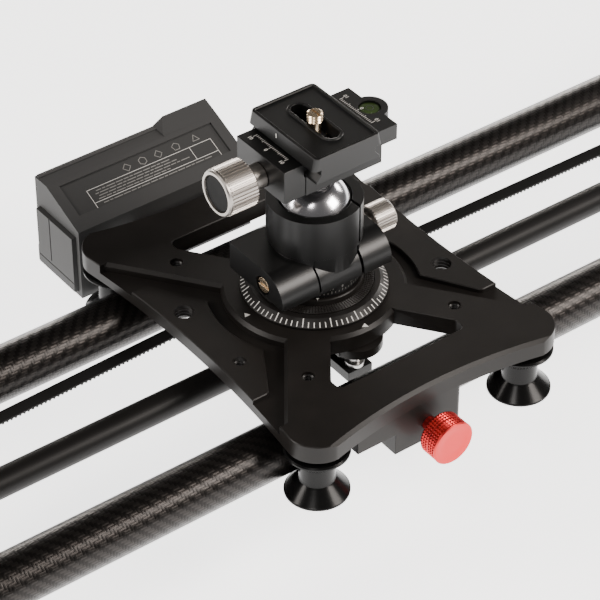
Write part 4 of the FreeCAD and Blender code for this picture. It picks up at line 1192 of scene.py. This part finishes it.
# -------------------------------------------------------------------- the motor box
@dataclass
class MotorBox:
    """Case behind the plate, with its ridge, label panel, battery and buttons."""

    ridge_x: tuple[float, float] = (-58.1, 2.4)
    ridge_y: tuple[float, float] = (113.4, 115.8)
    ridge_z: tuple[float, float] = (92.4, 93.9)
    battery_face: float = -61.5
    seam_depth: float = 1.6
    ledge_depth: float = 1.4
    label_low: tuple[float, float] = (87.6, 83.9)
    label_high: tuple[float, float] = (105.0, 91.4)
    ruled_x: tuple[float, float, float] = (-44.0, 8.0, 19.0)
    ruled_share: tuple[float, float, float] = (0.17, 0.31, 0.66)
    rule_width: float = 0.22
    dash_shares: tuple[float, ...] = (0.06, 0.24, 0.37, 0.44, 0.51, 0.58)
    dash_width: float = 0.42
    dash_gap: float = 0.9
    signs: tuple[tuple[float, int], ...] = ((-22, 4), (-14, 6), (-6, 4), (3, 5), (13, 3))
    sign_share: float = 0.81
    sign_wide: float = 1.9
    sign_tall: float = 0.1
    sign_line: float = 0.3

    def build(self) -> None:
        """Finish the case and its fittings."""
        softened("motor_box_case", "carriage", MOULDED, width=0.9, segments=3)
        self.ridge()
        softened("motor_box_lid", "carriage", LABEL, width=0.25)
        self.label()
        self.battery()
        softened("control_board", "carriage", BOARD, width=0.15)
        for name in ("power_button", "mode_button"):
            softened(name, name, ACETAL, width=0.4, segments=3)

    def battery(self) -> None:
        """The battery with a seam and a finger ledge in its cover."""
        obj = from_node("battery_pack", "battery_pack_finished")
        face = self.battery_face
        carved(obj, block("seam", (face, 103.2, 57.0), (face + self.seam_depth, 103.8, 79.5)))
        carved(obj, block("ledge", (face, 80.0, 55.2), (face + self.ledge_depth, 120.0, 55.7)))
        rounded(obj, width=0.45, segments=2)
        deliver(obj, "battery_pack", MOULDED, ["battery_pack"])

    def ridge(self) -> None:
        """The raised ridge along the back of the top."""
        low, high = zip(self.ridge_x, self.ridge_y, self.ridge_z)
        ridge = block("case_ridge", low, high)
        rounded(ridge, width=0.6, segments=3)
        deliver(ridge, "carriage", MOULDED)

    def on_label(self, x: float, share: float) -> Vector:
        """A point of the sloped panel: along X, and a share of the way up it."""
        return Vector((x, *self.label_low)).lerp(Vector((x, *self.label_high)), share)

    def line(self, first: Vector, last: Vector, width: float) -> bpy.types.Object:
        """A printed line on the panel, slightly raised.

        Args:
            first: its start on the panel, in millimetres.
            last: its end.
            width: its width.

        Returns:
            The mesh object, in place.
        """
        slope = (self.on_label(0, 1) - self.on_label(0, 0)).normalized()
        normal = Vector((1, 0, 0)).cross(slope)
        along, half = (last - first).normalized(), width / 2
        bar = block("line", (-half, -half, -PRINT_SUNK),
                    ((last - first).length + half, half, PRINT_PROUD))
        turn = Matrix((along, normal.cross(along), normal)).transposed().to_4x4()
        return moved(bar, tuple(first), turn)

    def label(self) -> None:
        """A ruled frame, rows of plain dashes and a row of outlines."""
        left, divide, right = self.ruled_x
        low, bar, high = self.ruled_share
        spans = [
            ((left, low), (right, low)), ((left, high), (right, high)),
            ((left, low), (left, high)), ((right, low), (right, high)),
            ((left, bar), (right, bar)), ((divide, bar), (divide, high)),
        ]
        lines = [self.line(self.on_label(*first), self.on_label(*last), self.rule_width)
                 for first, last in spans]
        deliver(joined("label_rules", lines), "carriage", PRINT)
        dashes = [dash for row in range(len(self.dash_shares)) for dash in self.dashes(row)]
        deliver(joined("label_dashes", dashes + self.outlines()), "carriage", FAINT_PRINT)

    def dashes(self, row: int) -> list[bpy.types.Object]:
        """One row of dashes of uneven length.

        Args:
            row: the row's number, from the bottom.

        Returns:
            The dashes, from left to right.
        """
        left, divide, _ = self.ruled_x
        start = left + 3 + row % 2
        stop = divide - 4 - 5 * (row % 3) if row > 1 else divide + 4
        share, row_dashes = self.dash_shares[row], []
        while start < stop:
            length = 1.2 + 0.9 * ((row * 5 + len(row_dashes) * 3) % 4)
            row_dashes.append(self.line(self.on_label(start, share),
                                        self.on_label(start + length, share), self.dash_width))
            start += length + self.dash_gap
        return row_dashes

    def outlines(self) -> list[bpy.types.Object]:
        """A row of plain outlines above the ruled frame.

        Returns:
            The sides of every outline.
        """
        sides = []
        for x, corners in self.signs:
            points = []
            for corner in range(corners):
                turn = math.tau * corner / corners + math.pi / 2
                points.append(self.on_label(x + self.sign_wide * math.cos(turn),
                                            self.sign_share + self.sign_tall * math.sin(turn)))
            sides += [self.line(points[index - 1], points[index], self.sign_line)
                      for index in range(corners)]
        return sides


# ----------------------------------------------------------------- the dial and head
@dataclass
class PanDial:
    """The graduated dial, the knurled platform and the linkage arm."""

    radius: float = 30.0
    inner: float = 26.6
    low: float = 83.1
    high: float = 85.6
    marks: int = 80
    long_every: int = 5
    long_share: float = 0.86
    short_share: float = 0.52
    mark_half: float = 0.2
    phase: float = -91.0
    knurl_outer: float = 24.0
    knurl_inner: float = 20.0
    knurl_rise: float = 0.45
    knurl_rings: int = 5
    knurl_proud: float = 0.32
    seat_sides: int = 120
    index_angle: float = -123.0
    index_x: float = 18.2
    index_z: float = 88.99

    def build(self) -> None:
        """Finish the dial, print its marks and knurl the platform."""
        softened("pan_dial", "pan_dial", MILLED, width=0.2)
        self.scale()
        self.platform()
        self.index()
        dress("pan_shaft", MILLED)
        softened("linkage_arm", "pan_dial", BLASTED, width=0.6)

    def scale(self) -> None:
        """Short marks on the bevel, every fifth one long."""
        rise, depth = self.high - self.low, self.radius - self.inner
        tilt = Matrix.Rotation(math.atan2(rise, depth), 4, "Y")
        marks = []
        for remainder, share in [(0, self.long_share)] + [
            (rest, self.short_share) for rest in range(1, self.long_every)
        ]:
            length = math.hypot(rise, depth) * share
            bar = block("mark", (-length, -self.mark_half, -PRINT_SUNK),
                        (0, self.mark_half, PRINT_PROUD))
            moved(bar, (self.radius - 0.25, 0, self.low + 0.18), tilt)
            turns = [rotation(self.phase + 360 / self.marks * index)
                     for index in range(remainder, self.marks, self.long_every)]
            marks += copies(bar, turns)
        deliver(joined("dial_marks", marks), "pan_dial", PRINT)

    def platform(self) -> None:
        """A seat with a knurled ring and a smooth step."""
        rings, width = self.knurl_rings, self.knurl_outer - self.knurl_inner
        profile = [(self.knurl_outer, 84.8), (self.knurl_outer, 85.6)]
        profile += [(self.knurl_outer - width * ring / rings, 85.9 + self.knurl_rise * ring / rings)
                    for ring in range(rings + 1)]
        profile += [(19.9, 88.6), (19.5, 89.0), (6.0, 89.0), (6.0, 95.4)]
        seat = turned("ribbed_platform_finished", profile, self.seat_sides)
        with editing(seat):
            choose_faces(seat, lambda centre, normal: normal.z > 0.9 and self.knurl_inner + 0.1
                         < math.hypot(centre.x, centre.y) < self.knurl_outer - 0.1)
            bpy.ops.mesh.poke(offset=self.knurl_proud * MM)
        deliver(seat, "pan_dial", BLASTED, ["ribbed_platform"], fold=18)

    def index(self) -> None:
        """The index mark on the platform: a line and a small square on its corner."""
        bar = block("index", (self.index_x + 0.2, -0.13, self.index_z - 0.01),
                    (self.index_x + 1.2, 0.13, self.index_z + 0.05))
        gem = turned("gem", [(0.75, 0), (0.75, 0.06)], sides=4)
        moved(gem, (self.index_x, 0, self.index_z))
        mark = joined("index_mark", [bar, gem])
        mark.data.transform(rotation(self.index_angle))
        deliver(mark, "pan_dial", PRINT)


@dataclass
class BallHead:
    """The split housing, the ball, its scale and the two screws."""

    barrel: float = 18.6
    scale_z: float = 90.5
    scale_marks: int = 72
    long_every: int = 3
    long_mark: float = 1.3
    short_mark: float = 0.8
    mark_half: float = 0.1
    figure_step: int = 15
    figure_rise: float = 2.4
    figure_height: float = 1.2
    neck_share: float = 0.9
    neck_rise: float = 1.2
    knob_z: float = 101.0
    knob_ribs: int = 34
    rib_proud: float = 0.4
    grip: tuple[float, float] = (27.6, 36.9)

    def build(self) -> None:
        """Finish the housing and its fittings."""
        softened("head_housing", "ball_head", HEAD_BLACK, width=0.45, segments=3)
        self.scale()
        self.ball()
        self.lock_knob()
        softened("friction_screw", "friction_screw", GOLD, width=0.35)

    def scale(self) -> None:
        """Marks and figures round the foot of the barrel."""
        marks = []
        for remainder in range(self.long_every):
            tall = self.short_mark if remainder else self.long_mark
            bar = block("mark", (self.barrel - PRINT_SUNK, -self.mark_half, self.scale_z),
                        (self.barrel + PRINT_PROUD, self.mark_half, self.scale_z + tall))
            marks += copies(bar, [rotation(360 / self.scale_marks * index) for index in
                                  range(remainder, self.scale_marks, self.long_every)])
        upright = rotation(90) @ rotation(90, "X")
        foot = (self.barrel + PRINT_SUNK, 0, self.scale_z + self.figure_rise)
        for angle in range(0, 90, self.figure_step):
            figure = numeral(str(angle), self.figure_height, foot, upright)
            marks += copies(figure, [rotation(angle + quarter) for quarter in range(0, 360, 90)])
        deliver(joined("barrel_scale", marks), "ball_head", FAINT_PRINT)

    def ball(self) -> None:
        """A polished ball with a short neck under the clamp."""
        clear_selection()
        low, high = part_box("head_ball")
        centre = (low + high) / 2
        radius = (high.x - low.x) / 2
        bpy.ops.mesh.primitive_uv_sphere_add(
            segments=96, ring_count=48, radius=radius, location=centre
        )
        ball = settle(named(bpy.context.object, "head_ball_finished"))
        neck = centre.z + radius * self.neck_share
        with editing(ball):
            bpy.ops.mesh.select_all(action="SELECT")
            bpy.ops.mesh.bisect(
                plane_co=(0, 0, neck), plane_no=(0, 0, 1), clear_outer=True, use_fill=True
            )
            choose_faces(ball, lambda spot, normal: normal.z > 0.99 and spot.z > neck / MM - 0.05)
            bpy.ops.mesh.extrude_region_move(
                TRANSFORM_OT_translate={"value": (0, 0, self.neck_rise * MM)}
            )
        deliver(ball, "head_ball", CHROME, ["head_ball"])

    def lock_knob(self) -> None:
        """A fluted silver knob on the right of the housing."""
        near, far = self.grip
        profile = [(2.5, 13.0), (2.5, 24.3), (4.0, 24.3), (4.0, 27.2), (5.9, 27.2), (6.2, near),
                   (6.2, far), (5.8, 37.5)]
        knob = fluted("ball_lock_knob_finished", profile, self.knob_ribs, self.rib_proud, self.grip)
        moved(knob, (0, 0, self.knob_z), Facing.RIGHT.turn())
        deliver(knob, "ball_lock_knob", FLUTED, ["ball_lock_knob"], fold=25)


# ------------------------------------------------------------------------ the clamp
@dataclass
class Clamp:
    """The quick-release clamp, its jaw, scales, vial and knob."""

    top: float = 156.0
    jaw_scale_x: float = -18.2
    wall_scale_x: float = 21.6
    scale_y: float = 2.6
    scale_reach: int = 10
    mark_lengths: Triple = (2.0, 1.5, 1.0)
    mark_half: float = 0.12
    figure_height: float = 1.7
    figure_x: float = 3.4
    knob_ribs: int = 40
    rib_proud: float = 0.5
    grip: tuple[float, float] = (32.6, 44.4)

    def build(self) -> None:
        """Finish the clamp and print its scales."""
        softened("clamp_body", "clamp", HEAD_BLACK, width=0.4, segments=3)
        softened("sliding_jaw", "sliding_jaw", HEAD_BLACK, width=0.4, segments=3)
        self.scale("jaw_scale", "sliding_jaw", self.jaw_scale_x, -1)
        self.scale("wall_scale", "clamp", self.wall_scale_x, 1)
        self.vial()
        self.knob()

    def scale(self, name: str, body: str, x: float, side: int) -> None:
        """Twenty-one marks a millimetre apart, with figures at the ends and the middle.

        Args:
            name: the piece's name.
            body: the body that carries it.
            x: where the marks start.
            side: -1 where they run to the left, 1 to the right.
        """
        reach = self.scale_reach
        tens = (-reach, 0, reach)
        fives = (-reach // 2, reach // 2)
        ones = tuple(index for index in range(-reach, reach + 1) if index % 5)
        marks = []
        for length, places in zip(self.mark_lengths, (tens, fives, ones)):
            near, far = sorted((x, x + side * length))
            bar = block("mark", (near, self.scale_y - self.mark_half, self.top - PRINT_SUNK),
                        (far, self.scale_y + self.mark_half, self.top + PRINT_PROUD))
            marks += copies(bar, [shift(0, index, 0) for index in places])
        for index in tens:
            spot = (x + side * self.figure_x, self.scale_y + index, self.top + PRINT_SUNK)
            marks.append(numeral(str(abs(index)), self.figure_height, spot, rotation(side * 90)))
        deliver(joined(name, marks), body, PRINT)

    def vial(self) -> None:
        """A domed green vial with a ring that stands for its bubble."""
        low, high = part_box("bubble_level")
        middle = node_middle("bubble_level")
        radius, tall = (high.x - low.x) / 2 / MM, (high.z - low.z) / MM
        profile = [(radius, 0), (radius, tall - 0.6), (radius - 0.5, tall - 0.2),
                   (radius * 0.5, tall), (radius * 0.1, tall + 0.05)]
        glass = turned("bubble_level_finished", profile, sides=48)
        moved(glass, (middle.x, middle.y, low.z / MM))
        deliver(glass, "clamp", VIAL, ["bubble_level"], fold=50)
        ring = turned("bubble_ring", [(1.6, 0), (1.6, 0.12), (1.35, 0.14), (1.3, 0.02)], sides=40)
        moved(ring, (middle.x, middle.y, high.z / MM - 0.05))
        deliver(ring, "clamp", LABEL)

    def knob(self) -> None:
        """A large fluted silver knob with a dark cap."""
        middle = node_middle("clamp_knob")
        seat = (0, middle.y, middle.z)
        near, far = self.grip
        profile = [(2.5, -12.0), (2.5, 25.3), (5.2, 25.3), (5.2, 32.0), (8.9, 32.0), (9.4, near),
                   (9.4, far), (9.5, 44.5), (9.5, 45.3), (9.0, 46.0), (7.9, 46.0), (7.7, 44.7)]
        knob = fluted("clamp_knob_finished", profile, self.knob_ribs, self.rib_proud, self.grip)
        moved(knob, seat, Facing.LEFT.turn())
        deliver(knob, "clamp_knob", FLUTED, ["clamp_knob"], fold=25)
        disc = [(7.65, 44.6), (7.65, 45.1), (7.3, 45.35), (0.5, 45.2)]
        cap = moved(turned("clamp_knob_cap_finished", disc, sides=64), seat, Facing.LEFT.turn())
        deliver(cap, "clamp_knob", CAP, ["clamp_knob_cap"])


@dataclass
class QuickRelease:
    """The camera plate with its rim, edge mark, retainer and screw."""

    top: float = 162.0
    rim_in: float = 0.9
    rim_slope: float = 0.35
    rim_step: float = 0.3
    tick_low: Triple = (-16.05, 3.1, 158.7)
    tick_high: Triple = (-15.9, 3.7, 160.7)
    thread_low: float = 161.9
    thread_pitch: float = 1.2
    thread_turns: int = 3
    thread_outer: float = 3.12
    thread_inner: float = 2.65
    tip: float = 166.2

    def build(self) -> None:
        """Finish the plate and its screw."""
        self.plate()
        dress("screw_retainer", STEEL)
        self.screw()

    def plate(self) -> None:
        """A shallow step inside the plate's outline and round its slot, and an edge mark."""
        obj = from_node("quick_release_plate", "quick_release_plate_finished")
        rounded(obj, width=0.4, segments=3)
        with editing(obj):
            choose_faces(obj, lambda spot, normal: normal.z > 0.999 and spot.z > self.top - 0.05)
            bpy.ops.mesh.inset(thickness=self.rim_in * MM, depth=0)
            bpy.ops.mesh.inset(thickness=self.rim_slope * MM, depth=-self.rim_step * MM)
        deliver(obj, "quick_release_plate", HEAD_BLACK, ["quick_release_plate"])
        tick = block("plate_tick", self.tick_low, self.tick_high)
        deliver(tick, "quick_release_plate", PRINT)

    def screw(self) -> None:
        """A short threaded screw with a slotted tip."""
        profile = [(5.0, 151.2), (5.6, 151.6), (5.6, 154.4), (5.2, 154.8), (2.5, 154.8),
                   (2.5, self.thread_low)]
        height = self.thread_low
        for _ in range(self.thread_turns):
            profile += [(self.thread_outer, height + self.thread_pitch / 2),
                        (self.thread_inner, height + self.thread_pitch)]
            height += self.thread_pitch
        profile += [(3.05, height + 0.3), (2.4, self.tip)]
        screw = turned("camera_screw_finished", profile, sides=48)
        carved(screw, block("slot", (-0.45, -5, self.tip - 0.8), (0.45, 5, self.tip + 0.8)))
        deliver(screw, "camera_screw", GOLD, ["camera_screw"])


# ------------------------------------------------------------------------ the studio
@dataclass(frozen=True)
class Softbox:
    """A rectangular light aimed at the head of the slider."""

    name: str
    toward: Triple
    distance: float
    size: tuple[float, float]
    power: float
    warmth: Triple = (1.0, 1.0, 1.0)

    def hang(self, target: Vector) -> None:
        """Put the light on its side of the target, facing it.

        Args:
            target: the point that it faces, in metres.
        """
        lamp = bpy.data.lights.new(self.name, "AREA")
        lamp.shape = "RECTANGLE"
        lamp.size, lamp.size_y = self.size
        lamp.energy = self.power
        lamp.color = self.warmth
        obj = bpy.data.objects.new(self.name, lamp)
        bpy.context.scene.collection.objects.link(obj)
        away = Vector(self.toward).normalized()
        obj.location = target + away * self.distance
        obj.rotation_euler = away.to_track_quat("Z", "Y").to_euler()


@dataclass
class Studio:
    """Pale floor, soft lights and the camera."""

    camera_place: Triple = (-0.5237, -0.6915, 0.7724)
    azimuth: float = -36.76
    elevation: float = 38.86
    lens: float = 165.2
    sensor: float = 36.0
    far_clip: float = 100.0
    floor_spread: float = 40.0
    sweep: PaleFloor = PaleFloor()
    target: Triple = (0, 0, 0.09)
    air_colour: Triple = (1.0, 0.98, 0.96)
    air_strength: float = 0.12

    def build(self) -> None:
        """Set up the floor, the lights, the surroundings and the camera."""
        self.floor()
        boxes = [
            Softbox("front_box", (0.466, -0.63, 0.56), 1.3, (0.55, 0.50), 20, (1.0, 0.93, 0.87)),
            Softbox("left_box", (-0.75, 0.30, 0.48), 1.3, (0.50, 0.50), 13, (1.0, 0.94, 0.89)),
            Softbox("camera_box", (-0.50, -0.36, 0.78), 1.4, (0.30, 0.30), 5, (1.0, 0.96, 0.93)),
            Softbox("back_box", (0.50, 0.86, 0.12), 1.5, (1.2, 0.20), 14, (1.0, 0.94, 0.88)),
            Softbox("right_box", (0.91, 0.10, 0.42), 1.4, (0.35, 0.35), 6, (1.0, 0.95, 0.91)),
        ]
        for softbox in boxes:
            softbox.hang(Vector(self.target))
        world = bpy.data.worlds.new("room")
        world.use_nodes = True
        air = world.node_tree.nodes["Background"]
        air.inputs["Color"].default_value = (*self.air_colour, 1)
        air.inputs["Strength"].default_value = self.air_strength
        bpy.context.scene.world = world
        self.camera()

    def floor(self) -> None:
        """A wide pale sweep under the slider."""
        clear_selection()
        bpy.ops.mesh.primitive_plane_add(size=self.floor_spread, location=(0, 0, 0))
        floor = settle(named(bpy.context.object, "floor"))
        floor.data.materials.append(self.sweep.material())

    def camera(self) -> None:
        """The camera, at its own height and angle."""
        lens = bpy.data.cameras.new("camera")
        lens.lens = self.lens
        lens.sensor_width = self.sensor
        lens.clip_end = self.far_clip
        obj = bpy.data.objects.new("camera", lens)
        bpy.context.scene.collection.objects.link(obj)
        turn, rise = math.radians(self.azimuth), math.radians(self.elevation)
        back = Vector((math.sin(turn) * math.cos(rise), -math.cos(turn) * math.cos(rise),
                       math.sin(rise)))
        obj.location = self.camera_place
        obj.rotation_euler = back.to_track_quat("Z", "Y").to_euler()
        bpy.context.scene.camera = obj


def main() -> None:
    """Build every sub-assembly in order, then the studio."""
    logging.basicConfig(level=logging.INFO, format="%(name)s %(message)s")
    for part in (RailSet(), Legs(), ToothedBelt(), Carriage(), MotorBox(), PanDial(), BallHead(),
                 Clamp(), QuickRelease(), Studio()):
        LOG.info("building %s", type(part).__name__)
        part.build()


if __name__ == "__main__":
    main()
